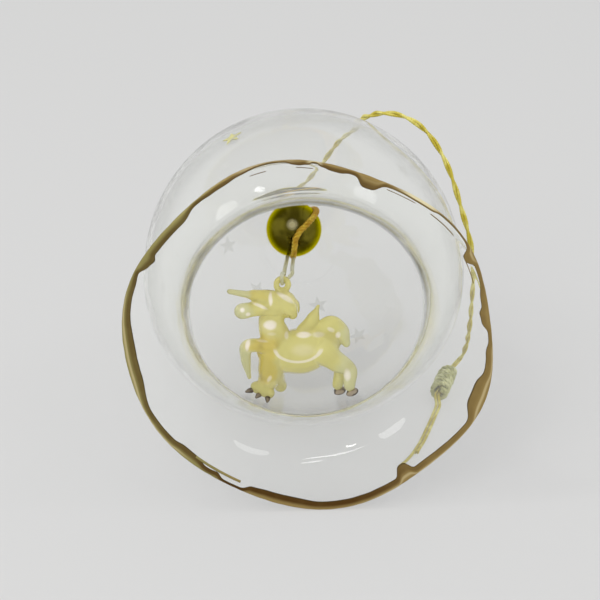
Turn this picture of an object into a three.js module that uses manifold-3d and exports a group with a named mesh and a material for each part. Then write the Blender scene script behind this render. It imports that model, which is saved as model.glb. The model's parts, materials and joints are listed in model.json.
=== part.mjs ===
// A blown-glass bell ornament, lying on its side as it rests on a table.
// The bell is one clear shell: a globe, a narrow waist and a fluted, gilded lip.
// Gilt stars are fired on the globe.
// One metallic cord carries it all: it is tied round a mirror bead inside the crown,
// holds a small lampworked glass animal as the clapper, and comes out of the crown as the hanger,
// which ends in a barrel knot and two tails.
// Millimetres, +Z up. The bell lies on the XY plane with its mouth towards -Y.
import * as THREE from 'three';
import { mergeVertices } from 'three/addons/utils/BufferGeometryUtils.js';
import Module from 'manifold-3d';

const wasm = await Module();
wasm.setup();

// Glass shell, measured along the bell's axis from the rim plane
const RIM_RADIUS = 34.5;
const GLOBE_RADIUS = 32.7;
const GLOBE_HEIGHT = 39;
const WAIST_RADIUS = 24.8;
const WAIST_HEIGHT = 16;
const GLASS_WALL = 1.1;
const WAIST_WALL = 2.2;
const LIP_WALL = 1.2;

// Fluted lip: each wave has its count round the rim, its height and the angle of one crest.
// Angles run round the axis, with 90 degrees at the lowest side.
const RADIAL_WAVES = [
  { count: 1, height: 0.68, crest: -81.5 },
  { count: 2, height: 0.78, crest: 53.2 },
  { count: 3, height: 0.17, crest: 58.6 },
  { count: 4, height: 0.27, crest: -11.1 },
  { count: 5, height: 0.23, crest: 30.4 },
  { count: 6, height: 0.52, crest: 21.3 },
];
const AXIAL_WAVES = [
  { count: 3, height: 0.35, crest: 55 },
  { count: 7, height: 0.25, crest: -12 },
];

// Gilding on the lip: an even band with runs, and two places where it is worn thin
const GILD_WIDTH = 0.7;
const GILD_THICKNESS = 0.3;
const GILD_RUNS = [
  { angle: -154, reach: 1.5, spread: 4 },
  { angle: 180, reach: 1.0, spread: 13 },
  { angle: -102, reach: -0.4, spread: 16 },
  { angle: -92, reach: 0.5, spread: 4 },
  { angle: -66, reach: 1.7, spread: 4.5 },
  { angle: -45, reach: -0.35, spread: 9 },
  { angle: -26, reach: 1.3, spread: 3.5 },
  { angle: -5, reach: 1.6, spread: 4.5 },
  { angle: 20, reach: 1.7, spread: 6 },
  { angle: 55, reach: 2.0, spread: 3.5 },
  { angle: 106, reach: 0.9, spread: 9 },
  { angle: 126, reach: -0.35, spread: 7 },
];

// Gilt stars: angle round the axis, and angle from the crown
const STAR_RADIUS = 2.4;
const STAR_INNER_RADIUS = 1.0;
const STAR_THICKNESS = 0.25;
const STAR_PLACES = [
  { turn: -116, fromCrown: 96 },
  { turn: -108, fromCrown: 59 },
  { turn: -34, fromCrown: 57 },
  { turn: -17, fromCrown: 69 },
  { turn: 159, fromCrown: 31 },
  { turn: 120, fromCrown: 35 },
  { turn: 162, fromCrown: 69 },
  { turn: 62, fromCrown: 56 },
  { turn: 78, fromCrown: 38 },
];

// Cord and bead
const STRAND_DIAMETER = 0.7;
const HANGER_DIAMETER = 1.3;
const BEAD_RADIUS = 6;
const BORE_DIAMETER = 1.5;
const LASHING_TURN = -55;
const LASHING_START = 16;
const STRAND_PARTS = [0, 0.3, 0.6];

// Barrel knot on the hanger: a strand wound round the doubled cord
const WRAP_DIAMETER = 1.0;
const WRAP_PITCH = 1.48;
const WRAP_TURNS = 5;
const TAIL_GAP = 0.4;

// Glass animal, measured from the middle of its hanging ring: across, up and away from the mouth
const RING_SIDE = -4.3;
const RING_ABOVE_FLOOR = 27.5;
const RING_RADIUS = 1.45;
const RING_WIRE = 0.6;
const FOOT_CLEARANCE = 0.45;
const CLAW_RADIUS = 0.5;
const CLAW_TIP_RADIUS = 0.25;
const CLAW_LENGTH = 0.7;
const HOOF_RADIUS = 1.35;
const HOOF_HEIGHT = 1.4;

// Stations of the animal's limbs: across, up, away and radius
const BODY = [
  [-2.4, -15.6, 0, 3.2],
  [0.6, -16.0, 0.4, 4.8],
  [4.0, -16.1, 0.8, 5.2],
  [7.4, -15.0, 1.0, 4.6],
  [9.0, -14.3, 1.0, 3.4],
];
const NECK = [
  [-1.2, -5.6, 0, 2.4],
  [-2.3, -8.4, 0, 2.8],
  [-1.6, -11.8, 0.2, 3.2],
  [-0.4, -14.4, 0.4, 3.5],
];
const HEAD = [[-1.7, -4.7, -0.2, 2.6], [0.2, -4.5, 0, 3.0], [1.3, -5.3, 0.1, 2.5]];
const CREST = [[0.1, -2.1, 0, 1.4], [-0.1, -3.8, 0, 2.2]];
const EAR_FLAP = [[0.2, -3.3, -1.4, 1.3], [1.5, -4.7, -1.7, 1.6], [2.1, -6.3, -1.4, 1.1]];
const MUZZLE = [
  [-1.6, -5.0, -0.3, 2.2],
  [-4.3, -5.0, -0.7, 1.7],
  [-6.4, -5.2, -1.0, 1.6],
  [-8.4, -5.5, -1.2, 1.75],
];
const HORN = [
  [-1.6, -3.4, -0.2, 2.0],
  [-3.4, -2.9, -0.3, 1.8],
  [-5.6, -2.3, -0.35, 1.3],
  [-7.8, -1.9, -0.4, 0.75],
  [-11.0, -1.2, -0.5, 0.6],
];
const RAISED_LEG = [
  [-2.4, -14.4, -0.9, 1.9],
  [-5.2, -13.3, -1.7, 1.5],
  [-7.5, -13.5, -2.0, 1.5],
  [-7.8, -16.4, -1.9, 1.1],
  [-7.1, -21.0, -1.6, 0.45],
];
const STANDING_LEG = [[-2.2, -15.8, -0.4, 2.8], [-2.6, -19.4, -0.3, 2.7], [-3.1, -22.4, 0, 2.3]];
const NEAR_HIND_LEG = [[8.4, -15.4, -0.4, 3.3], [11.2, -17.8, -0.9, 2.3], [14.0, -19.6, -1.4, 1.7]];
const FAR_HIND_LEG = [[7.8, -15.4, 2.2, 2.6], [10.2, -18.3, 2.2, 1.9], [12.2, -20.2, 1.2, 1.5]];
const TAIL = [
  [8.0, -11.4, 0.9, 2.0],
  [10.3, -9.8, 1.1, 1.7],
  [12.5, -11.5, 1.2, 1.5],
  [13.5, -14.6, 1.1, 0.95],
];
const FIN = [[5.0, -11.4, 0.6, 2.2], [6.3, -8.6, 0.6, 1.5], [7.5, -5.4, 0.6, 0.45]];
const THICKNESS = { body: 0.8, neck: 0.75, head: 0.85, fin: 0.5 };
// Rounded ends of a limb: how far out and how wide each ring is, in radii
const ROUND_END = [[0.5, 0.87], [0.87, 0.5]];

// Places of the feet on the floor: across, away and radius; each claw has its toe and its heading
const HEEL = [-0.7, 2.4, 1.5];
const TOES = [[-6.05, -0.15, 1.3], [-4.7, -0.8, 1.5], [-3.35, -1.45, 1.3]];
const CLAW_HEADINGS = [-141, -117, -92];
const NEAR_HIND_FOOT = [14.9, -2.1, HOOF_RADIUS];
const FAR_HIND_FOOT = [12.3, 0.2, HOOF_RADIUS];

// Gap between pieces that touch on the real ornament
const CLEARANCE = 0.3;

// Hanger route outside the crown, measured from the globe's centre
const HANGER_ROUTE = [
  [0.0, 36.3, -3.3],
  [1.5, 37.7, -0.6],
  [3.6, 36.5, 4.2],
  [6.1, 33.4, 10.4],
  [8.9, 29.9, 16.4],
  [11.6, 24.6, 21.5],
  [13.9, 17.8, 26.0],
  [17.5, 12.4, 28.9],
  [21.2, 10.2, 28.9],
  [25.3, 8.7, 26.5],
  [29.3, 6.0, 21.0],
  [32.7, 1.7, 11.6],
  [34.7, -1.4, 4.3],
  [35.3, -2.0, -1.8],
  [35.4, -0.6, -8.6],
  [35.5, 3.5, -16.6],
  [35.5, 8.0, -22.6],
  [35.3, 11.2, -26.2],
  [34.8, 12.4, -28.4],
  [33.7, 11.3, -29.4],
];
const KNOT_START = [32.3, 8.0, -29.6];
const KNOT_HEADING = [-0.3, -0.95, -0.125];
const LONG_TAIL_ROUTE = [
  [29.4, -3.2, -31.4],
  [28.4, -5.6, -32.1],
  [26.6, -10.8, -32.25],
  [25.1, -15.2, -32.25],
  [23.6, -18.8, -32.25],
  [21.9, -22.3, -32.25],
  [19.1, -27.1, -32.25],
];
const SHORT_TAIL_ROUTE = [
  [30.5, -3.5, -31.4],
  [29.5, -5.8, -32.1],
  [27.7, -11.0, -32.25],
  [26.2, -15.4, -32.25],
  [25.1, -18.4, -32.25],
  [24.6, -20.4, -32.25],
];

// Facet counts
const SHELL_SEGMENTS = 48;
const GLOBE_STEPS = 12;
const FILLET_STEPS = 3;
const FLARE_STEPS = 5;
const LIP_STEPS = 4;
const GILD_SEGMENTS = 96;
const BEAD_SEGMENTS = 24;
const CORD_SIDES = 8;
const WRAP_SIDES = 6;
const WRAP_STEPS = 24;
const LIMB_SIDES = 8;
const LIMB_STEPS = 3;
const HANGER_STEPS = 76;
const TAIL_STEPS = 20;
const LOOP_STEPS = 32;
const LASHING_STEPS = 18;
const BORE_STEPS = 4;
const GILD_STEPS = 2;
const BEAD_STEPS = 12;
const LASHING_POINTS = 12;
const BIGHT_POINTS = 6;
const RING_SEGMENTS = 18;
const STAR_POINTS = 5;
const HOOF_SEGMENTS = 12;
const HOOF_STEPS = 8;

const rad = THREE.MathUtils.degToRad;
const materials = {
  glass: { color: 0xe4ebe6, roughness: 0.03, metalness: 0, transparent: true, opacity: 0.35 },
  gilt: { color: 0x8a6a34, roughness: 0.32, metalness: 0.9 },
  star: { color: 0xc9b765, roughness: 0.4, metalness: 0.7 },
  mirror: { color: 0x8f7a1e, roughness: 0.05, metalness: 1 },
  cord: { color: 0xd9c04a, roughness: 0.35, metalness: 0.6 },
  animal: { color: 0xcfc05c, roughness: 0.06, metalness: 0 },
  claw: { color: 0x4d4038, roughness: 0.2, metalness: 0 },
};

function mesh(name, geometry, finish) {
  const made = new THREE.Mesh(geometry, new THREE.MeshStandardMaterial(materials[finish]));
  made.name = name;
  return made;
}

// Closed surface round the Z axis from a section of [radius, height] points,
// which may change with the angle.
// A facet, and not an edge, faces each quarter turn, so the lying bell rests on flats.
function revolve(segments, sectionAt) {
  const positions = [];
  const index = [];
  let count = 0;
  for (let i = 0; i < segments; i++) {
    const turn = ((i + 0.5) / segments) * 2 * Math.PI;
    const section = sectionAt(turn);
    count = section.length;
    for (const [radius, height] of section) {
      positions.push(radius * Math.cos(turn), radius * Math.sin(turn), height);
    }
  }
  for (let i = 0; i < segments; i++) {
    const here = i * count;
    const there = ((i + 1) % segments) * count;
    for (let j = 0; j < count; j++) {
      const next = (j + 1) % count;
      index.push(here + j, there + j, there + next, here + j, there + next, here + next);
    }
  }
  return indexed(positions, index);
}

function indexed(positions, index) {
  const geometry = new THREE.BufferGeometry();
  geometry.setAttribute('position', new THREE.Float32BufferAttribute(positions, 3));
  geometry.setIndex(index);
  return geometry;
}

function arc(from, to, steps, pointAt) {
  return Array.from({ length: steps + 1 }, (_, i) => pointAt(from + ((to - from) * i) / steps));
}

function waves(list, turn) {
  return list.reduce((sum, wave) => sum + wave.height * Math.cos(wave.count * (turn - rad(wave.crest))), 0);
}

// Shell outline. The globe runs into the waist on a tight fillet,
// and the waist opens into the lip on a wide arc.
const globeToWaist = GLOBE_HEIGHT - WAIST_HEIGHT;
const filletGain = WAIST_RADIUS ** 2 + globeToWaist ** 2 - GLOBE_RADIUS ** 2;
const filletRadius = filletGain / (2 * (GLOBE_RADIUS - WAIST_RADIUS));
const filletAngle = Math.atan2(globeToWaist, WAIST_RADIUS + filletRadius);
const flareReach = RIM_RADIUS - WAIST_RADIUS;
const flareRadius = (flareReach ** 2 + WAIST_HEIGHT ** 2) / (2 * flareReach);
const lipAngle = Math.atan2(WAIST_HEIGHT, flareRadius - flareReach);
const globeInside = GLOBE_RADIUS - GLASS_WALL;
const holeRadius = HANGER_DIAMETER / 2 + CLEARANCE;

function globePoint(radius) {
  return (angle) => ({ r: radius * Math.sin(angle), h: GLOBE_HEIGHT + radius * Math.cos(angle), wave: 0 });
}

// The wall's thickness eases from one value to the other
function easedWall(from, to, part) {
  return from + (to - from) * THREE.MathUtils.smoothstep(part, 0, 1);
}

// A point between waist and globe, at a share of the wall's thickness from its outer face
function filletPoint(share) {
  return (angle) => {
    const radius = filletRadius + share * easedWall(WAIST_WALL, GLASS_WALL, angle / filletAngle);
    return {
      r: WAIST_RADIUS + filletRadius - radius * Math.cos(angle),
      h: WAIST_HEIGHT + radius * Math.sin(angle),
      wave: 0,
    };
  };
}

// A point on the flare, at a share of the wall's thickness from its outer face and a distance off the glass
function flarePoint(share, lift = 0) {
  return (angle) => {
    const part = angle / lipAngle;
    const radius = flareRadius + easedWall(WAIST_WALL, LIP_WALL, part) * share + lift;
    return {
      r: WAIST_RADIUS + flareRadius - radius * Math.cos(angle),
      h: WAIST_HEIGHT - radius * Math.sin(angle),
      wave: part * part,
    };
  };
}

// A point on the rounded end of the lip: 0 at its inner face, half a turn at its outer face
function lipPoint(lift = 0) {
  const middle = flarePoint(0.5)(lipAngle);
  return (turn) => {
    const reach = LIP_WALL / 2 + lift;
    const inward = reach * Math.cos(turn);
    const onward = reach * Math.sin(turn);
    return {
      r: middle.r - inward * Math.cos(lipAngle) + onward * Math.sin(lipAngle),
      h: middle.h - inward * Math.sin(lipAngle) - onward * Math.cos(lipAngle),
      wave: 1,
    };
  };
}

function fluted(points, turn) {
  const out = waves(RADIAL_WAVES, turn);
  const along = waves(AXIAL_WAVES, turn);
  return points.map(({ r, h, wave }) => [r + wave * out, h + wave * along]);
}

function glassBell() {
  const shoulder = Math.PI / 2 + filletAngle;
  const outerHole = Math.asin((holeRadius + GLASS_WALL / 3) / GLOBE_RADIUS);
  const innerHole = Math.asin((holeRadius + GLASS_WALL / 3) / globeInside);
  const wallMiddle = { r: holeRadius, h: GLOBE_HEIGHT + (GLOBE_RADIUS + globeInside) / 2, wave: 0 };
  const outline = [
    ...arc(outerHole, shoulder, GLOBE_STEPS, globePoint(GLOBE_RADIUS)),
    ...arc(filletAngle, 0, FILLET_STEPS, filletPoint(0)).slice(1),
    ...arc(0, lipAngle, FLARE_STEPS, flarePoint(0)).slice(1),
    ...arc(Math.PI, 0, LIP_STEPS, lipPoint()).slice(1, -1),
    ...arc(lipAngle, 0, FLARE_STEPS, flarePoint(1)),
    ...arc(0, filletAngle, FILLET_STEPS, filletPoint(1)).slice(1),
    ...arc(shoulder, innerHole, GLOBE_STEPS, globePoint(globeInside)).slice(1),
    wallMiddle,
  ];
  return revolve(SHELL_SEGMENTS, (turn) => fluted(outline, turn).reverse());
}

function gildWidth(turn) {
  return GILD_RUNS.reduce((width, run) => {
    const away = Math.atan2(Math.sin(turn - rad(run.angle)), Math.cos(turn - rad(run.angle)));
    return width + run.reach * Math.exp(-((away / rad(run.spread)) ** 2));
  }, GILD_WIDTH);
}

// Gilding wraps the lip: in over the inner face by its width, round the end and just over the outer edge.
function rimGilding() {
  return revolve(GILD_SEGMENTS, (turn) => {
    const inward = gildWidth(turn) / (flareRadius + LIP_WALL);
    const skin = (lift) => [
      ...arc(lipAngle - inward, lipAngle, GILD_STEPS, flarePoint(1, lift)),
      ...arc(0, Math.PI, LIP_STEPS, lipPoint(lift)).slice(1),
    ];
    return fluted([...skin(CLEARANCE + GILD_THICKNESS), ...skin(CLEARANCE).reverse()], turn);
  });
}

function star({ turn, fromCrown }) {
  const aside = Math.sin(rad(fromCrown));
  const axis = new THREE.Vector3(
    aside * Math.cos(rad(turn)),
    aside * Math.sin(rad(turn)),
    Math.cos(rad(fromCrown)),
  );
  const east = new THREE.Vector3(-Math.sin(rad(turn)), Math.cos(rad(turn)), 0);
  const north = new THREE.Vector3().crossVectors(axis, east);
  const corners = 2 * STAR_POINTS;
  const flat = [[0, 0]];
  for (let i = 0; i < corners; i++) {
    const reach = i % 2 ? STAR_INNER_RADIUS : STAR_RADIUS;
    const angle = (i * Math.PI) / STAR_POINTS;
    flat.push([reach * Math.cos(angle), reach * Math.sin(angle)]);
  }
  const positions = [];
  for (const radius of [GLOBE_RADIUS + CLEARANCE, GLOBE_RADIUS + CLEARANCE + STAR_THICKNESS]) {
    for (const [across, up] of flat) {
      const point = axis.clone().multiplyScalar(radius);
      point.addScaledVector(east, across).addScaledVector(north, up).setLength(radius);
      positions.push(point.x, point.y, point.z + GLOBE_HEIGHT);
    }
  }
  const index = [];
  const layer = flat.length;
  for (let i = 1; i < layer; i++) {
    const next = (i % corners) + 1;
    index.push(0, next, i, layer, layer + i, layer + next);
    index.push(i, next, layer + next, i, layer + next, layer + i);
  }
  return indexed(positions, index);
}

function tube(points, diameter, steps, sides = CORD_SIDES) {
  const curve = new THREE.CatmullRomCurve3(points, false, 'centripetal');
  return sweep(curve, diameter, steps, sides);
}

function sweep(curve, diameter, steps, sides) {
  const corners = arc(0, 2 * Math.PI, sides, (angle) => (
    new THREE.Vector2((diameter / 2) * Math.cos(angle), (diameter / 2) * Math.sin(angle))
  ));
  const section = new THREE.Shape(corners.slice(0, sides));
  return new THREE.ExtrudeGeometry(section, { steps, extrudePath: curve, bevelEnabled: false });
}

// Bell, lying on its lowest flute and on the globe
const lipReach = LIP_WALL / 2 + CLEARANCE + GILD_THICKNESS;
const lieAngle = Math.max(...arc(0, Math.PI, GILD_SEGMENTS / 2, (turn) => {
  const [[radius, height]] = fluted([flarePoint(0.5)(lipAngle)], turn);
  const low = radius * Math.sin(turn);
  const ahead = GLOBE_HEIGHT - height;
  return Math.atan2(low, ahead) - Math.asin((GLOBE_RADIUS - lipReach) / Math.hypot(low, ahead));
}));
const bell = new THREE.Group();
bell.rotation.x = -(Math.PI / 2 + lieAngle);
bell.add(mesh('glass_bell', glassBell(), 'glass'));
bell.add(mesh('rim_gilding', rimGilding(), 'gilt'));
STAR_PLACES.forEach((place, i) => bell.add(mesh(`star_${i + 1}`, star(place), 'star')));
const lyingBox = new THREE.Box3().setFromObject(bell, true);
const middle = lyingBox.getCenter(new THREE.Vector3());
bell.position.set(-middle.x, -middle.y, -lyingBox.min.z);
bell.updateMatrixWorld(true);

function onAxis(height) {
  return new THREE.Vector3(0, 0, height).applyMatrix4(bell.matrixWorld);
}
const globeCentre = onAxis(GLOBE_HEIGHT);
function fromGlobe(point) {
  return new THREE.Vector3(...point).add(globeCentre);
}

// Bead in the crown, with one strand through its bore and the other tied over it
const strandSpace = STRAND_DIAMETER + 2 * CLEARANCE;
const beadHeight = GLOBE_HEIGHT + globeInside - strandSpace - BEAD_RADIUS;
const boreAngle = Math.asin(BORE_DIAMETER / 2 / BEAD_RADIUS);
const boreEnd = BEAD_RADIUS * Math.cos(boreAngle);

function bead() {
  const ball = arc(boreAngle, Math.PI - boreAngle, BEAD_STEPS, (angle) => (
    [BEAD_RADIUS * Math.sin(angle), beadHeight + BEAD_RADIUS * Math.cos(angle)]
  ));
  return revolve(BEAD_SEGMENTS, () => [...ball].reverse());
}

function boreStrand() {
  const ends = [beadHeight - boreEnd, beadHeight, beadHeight + boreEnd];
  return tube(ends.map((height) => new THREE.Vector3(0, 0, height)), STRAND_DIAMETER, BORE_STEPS);
}

function beadLashing() {
  const reach = BEAD_RADIUS + CLEARANCE + STRAND_DIAMETER / 2;
  const point = (angle) => new THREE.Vector3(
    reach * Math.sin(angle) * Math.cos(rad(LASHING_TURN)),
    reach * Math.sin(angle) * Math.sin(rad(LASHING_TURN)),
    beadHeight + reach * Math.cos(angle),
  );
  const points = arc(rad(180 - LASHING_START), rad(LASHING_START), LASHING_POINTS, point);
  return tube(points, STRAND_DIAMETER, LASHING_STEPS);
}
bell.add(mesh('stopper_bead', bead(), 'mirror'));
bell.add(mesh('bore_strand', boreStrand(), 'cord'));
bell.add(mesh('bead_lashing', beadLashing(), 'cord'));

// Ring of the animal, over the lowest part of the globe's floor
const ringCentre = globeCentre.clone();
ringCentre.x += RING_SIDE;
ringCentre.z += RING_ABOVE_FLOOR - globeInside;

// Doubled strand from the bead's bore to the ring: down, through the ring and up again
function clapperLoop() {
  const mouth = onAxis(beadHeight - boreEnd - CLEARANCE);
  const upward = mouth.clone().sub(ringCentre).normalize();
  const toWire = new THREE.Vector3(0, upward.y, upward.z).normalize();
  const wireAt = ringCentre.clone().addScaledVector(toWire, RING_RADIUS);
  const side = new THREE.Vector3(1, 0, 0).addScaledVector(upward, -upward.x).normalize();
  const turnRadius = RING_WIRE + CLEARANCE + STRAND_DIAMETER / 2;
  const apart = STRAND_DIAMETER / 2 + CLEARANCE;
  const start = mouth.clone().addScaledVector(upward, -CLEARANCE);
  const run = start.distanceTo(wireAt);
  const strand = (sign) => STRAND_PARTS.map((part) => {
    const spread = apart + (turnRadius - apart) * part;
    return start.clone().addScaledVector(upward, -run * part).addScaledVector(side, sign * spread);
  });
  const bight = arc(0, Math.PI, BIGHT_POINTS, (angle) => wireAt.clone()
    .addScaledVector(side, -turnRadius * Math.cos(angle))
    .addScaledVector(upward, -turnRadius * Math.sin(angle)));
  return tube([...strand(-1), ...bight, ...strand(1).reverse()], STRAND_DIAMETER, LOOP_STEPS);
}

// Lampworked animal: swelling lengths of glass run together into one piece
function limb(stations, depth = 1, stepsEach = LIMB_STEPS) {
  const places = stations.map(([u, v, w]) => new THREE.Vector3(u, w, v));
  const curve = new THREE.CatmullRomCurve3(places, false, 'centripetal');
  const steps = (stations.length - 1) * stepsEach;
  const sizes = new THREE.SplineCurve(stations.map((station, i) => new THREE.Vector2(i, station[3])));
  const rings = [];
  const addRing = (part, slide, shrink) => {
    const along = curve.getTangent(part);
    const size = sizes.getPoint(part).y;
    const centre = curve.getPoint(part).addScaledVector(along, slide * size);
    const side = new THREE.Vector3(0, 1, 0).addScaledVector(along, -along.y).normalize();
    const across = new THREE.Vector3().crossVectors(side, along);
    rings.push(arc(0, 2 * Math.PI, LIMB_SIDES, (angle) => centre.clone()
      .addScaledVector(across, size * shrink * Math.cos(angle))
      .addScaledVector(side, size * shrink * depth * Math.sin(angle))).slice(0, LIMB_SIDES));
  };
  [...ROUND_END].reverse().forEach(([slide, shrink]) => addRing(0, -slide, shrink));
  for (let i = 0; i <= steps; i++) addRing(i / steps, 0, 1);
  ROUND_END.forEach(([slide, shrink]) => addRing(1, slide, shrink));
  return skinned(rings);
}

function skinned(rings) {
  const sides = rings[0].length;
  const mean = (ring) => ring.reduce((sum, p) => sum.add(p), new THREE.Vector3()).divideScalar(sides);
  const points = [...rings.flat(), mean(rings[0]), mean(rings.at(-1))];
  const index = [];
  const first = rings.length * sides;
  const last = (rings.length - 1) * sides;
  for (let i = 0; i < sides; i++) {
    const next = (i + 1) % sides;
    for (let ring = 0; ring < rings.length - 1; ring++) {
      const low = ring * sides;
      const high = low + sides;
      index.push(low + i, low + next, high + next, low + i, high + next, high + i);
    }
    index.push(first, next, i, first + 1, last + i, last + next);
  }
  return indexed(points.flatMap((p) => [p.x, p.y, p.z]), index);
}

function solid(geometry) {
  const bare = geometry.clone();
  bare.deleteAttribute('normal');
  bare.deleteAttribute('uv');
  const merged = mergeVertices(bare, 1e-4);
  return new wasm.Manifold(new wasm.Mesh({
    numProp: 3,
    vertProperties: new Float32Array(merged.attributes.position.array),
    triVerts: new Uint32Array(merged.index.array),
  }));
}

function fused(geometries) {
  const whole = geometries.map(solid).reduce((sum, next) => sum.add(next));
  const { vertProperties, triVerts } = whole.getMesh();
  return indexed(Array.from(vertProperties), Array.from(triVerts));
}

// A station whose ball stands clear of the globe's floor, or above it by a lift, at a place seen from above
function standing([across, away, size], lift = 0) {
  const reach = globeInside - FOOT_CLEARANCE;
  const x = RING_SIDE + across;
  const down = new THREE.Vector3(x, away, -Math.sqrt(reach ** 2 - x ** 2 - away ** 2));
  down.setLength(reach - size - lift);
  return [down.x - RING_SIDE, down.z - (ringCentre.z - globeCentre.z), down.y, size];
}

function onHoof(foot) {
  return standing(foot, HOOF_HEIGHT + CLEARANCE);
}

function animal() {
  const ring = new THREE.TorusGeometry(RING_RADIUS, RING_WIRE, LIMB_SIDES, RING_SEGMENTS);
  ring.rotateY(Math.PI / 2);
  const toes = TOES.map((toe) => standing(toe));
  const plain = [
    CREST,
    EAR_FLAP,
    MUZZLE,
    HORN,
    RAISED_LEG,
    TAIL,
    toes,
    [...STANDING_LEG, toes[1]],
    [STANDING_LEG[1], standing(HEEL)],
    [...NEAR_HIND_LEG, onHoof(NEAR_HIND_FOOT)],
    [...FAR_HIND_LEG, onHoof(FAR_HIND_FOOT)],
  ];
  return fused([
    limb(BODY, THICKNESS.body),
    limb(NECK, THICKNESS.neck),
    limb(HEAD, THICKNESS.head),
    limb(FIN, THICKNESS.fin),
    ...plain.map((stations) => limb(stations)),
    ring,
  ]);
}

// Dark claws in front of the toes, each on the glass floor
function addClaws(group) {
  TOES.forEach(([across, away, size], i) => {
    const apart = size + CLAW_RADIUS + CLEARANCE;
    const reach = Math.sqrt(apart ** 2 - (size - CLAW_RADIUS) ** 2);
    const heading = rad(CLAW_HEADINGS[i]);
    const place = (distance, radius) => (
      standing([across + distance * Math.cos(heading), away + distance * Math.sin(heading), radius])
    );
    const claw = limb([place(reach, CLAW_RADIUS), place(reach + CLAW_LENGTH, CLAW_TIP_RADIUS)], 1, 1);
    group.add(mesh(`fore_claw_${i + 1}`, claw, 'claw'));
  });
}

function addHoof(group, name, [across, away]) {
  const [u, v, w] = standing([across, away, HOOF_HEIGHT / 2]);
  const ball = new THREE.SphereGeometry(HOOF_RADIUS, HOOF_SEGMENTS, HOOF_STEPS).rotateX(Math.PI / 2);
  const hoof = mesh(name, ball, 'claw');
  hoof.position.set(u, w, v);
  hoof.quaternion.setFromUnitVectors(
    new THREE.Vector3(0, 0, 1),
    new THREE.Vector3(-RING_SIDE - u, -w, globeCentre.z - ringCentre.z - v).normalize(),
  );
  hoof.scale.z = HOOF_HEIGHT / 2 / HOOF_RADIUS;
  group.add(hoof);
}

const figure = new THREE.Group();
figure.position.copy(ringCentre);
figure.add(mesh('glass_animal', animal(), 'animal'));
addClaws(figure);
addHoof(figure, 'near_hind_hoof', NEAR_HIND_FOOT);
addHoof(figure, 'far_hind_hoof', FAR_HIND_FOOT);

// Hanger: out of the crown, over the globe's shoulder and down to the table, into the barrel knot
const knotHeading = new THREE.Vector3(...KNOT_HEADING).normalize();
const knotSide = new THREE.Vector3(0, 0, 1).cross(knotHeading).normalize();
const knotUp = new THREE.Vector3().crossVectors(knotHeading, knotSide);
const knotLength = WRAP_PITCH * WRAP_TURNS;
const knotStart = fromGlobe(KNOT_START);
const knotEnd = knotStart.clone().addScaledVector(knotHeading, knotLength);

function hangerCord() {
  const inside = onAxis(beadHeight + BEAD_RADIUS + CLEARANCE);
  const crown = onAxis(GLOBE_HEIGHT + GLOBE_RADIUS);
  const route = [inside, crown, ...HANGER_ROUTE.map(fromGlobe), knotStart, knotEnd];
  return tube(route, HANGER_DIAMETER, HANGER_STEPS);
}

class Wrap extends THREE.Curve {
  constructor(radius) {
    super();
    this.radius = radius;
  }

  // Straight for one wrap diameter at each end, and a helix between
  getPoint(part, target = new THREE.Vector3()) {
    const straight = WRAP_DIAMETER / (2 * Math.PI * this.radius);
    const turns = part * (WRAP_TURNS + 2 * straight) - straight;
    const held = THREE.MathUtils.clamp(turns, 0, WRAP_TURNS);
    const beyond = (turns - held) * 2 * Math.PI * this.radius;
    const angle = held * 2 * Math.PI;
    const sideways = this.radius * Math.cos(angle) - beyond * Math.sin(angle);
    const upwards = this.radius * Math.sin(angle) + beyond * Math.cos(angle);
    return target.copy(knotStart).addScaledVector(knotHeading, turns * WRAP_PITCH)
      .addScaledVector(knotSide, sideways).addScaledVector(knotUp, upwards);
  }
}

function barrelKnot() {
  const wrap = new Wrap(HANGER_DIAMETER / 2 + CLEARANCE + WRAP_DIAMETER / 2);
  const steps = WRAP_TURNS * WRAP_STEPS;
  const points = wrap.getPoints(steps);
  const halfTurn = WRAP_STEPS / 2;
  let least = Infinity;
  for (let i = 0; i < points.length; i++) {
    for (let j = i + halfTurn; j < points.length; j++) {
      least = Math.min(least, points[i].distanceTo(points[j]));
    }
  }
  console.log(`barrel knot: least gap between turns ${(least - WRAP_DIAMETER).toFixed(2)} mm`);
  return sweep(wrap, WRAP_DIAMETER, steps, WRAP_SIDES);
}

function tail(route, sign) {
  const apart = (STRAND_DIAMETER + TAIL_GAP) / 2;
  const start = knotEnd.clone().addScaledVector(knotHeading, CLEARANCE);
  start.addScaledVector(knotSide, sign * apart);
  const onward = start.clone().addScaledVector(knotHeading, 2 * STRAND_DIAMETER);
  return tube([start, onward, ...route.map(fromGlobe)], STRAND_DIAMETER, TAIL_STEPS);
}

const ornament = new THREE.Group();
ornament.add(bell, figure);
ornament.add(mesh('clapper_loop', clapperLoop(), 'cord'));
ornament.add(mesh('hanger_cord', hangerCord(), 'cord'));
ornament.add(mesh('barrel_knot', barrelKnot(), 'cord'));
ornament.add(mesh('tail_long', tail(LONG_TAIL_ROUTE, -1), 'cord'));
ornament.add(mesh('tail_short', tail(SHORT_TAIL_ROUTE, 1), 'cord'));

export default ornament;
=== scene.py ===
"""Blown-glass bell ornament lying on a table, with its clapper and its cord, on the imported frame."""

from __future__ import annotations

import json
import logging
import math
from collections.abc import Callable, Sequence
from dataclasses import dataclass, field
from enum import Enum

import bpy
from mathutils import Matrix, Vector, noise

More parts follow.
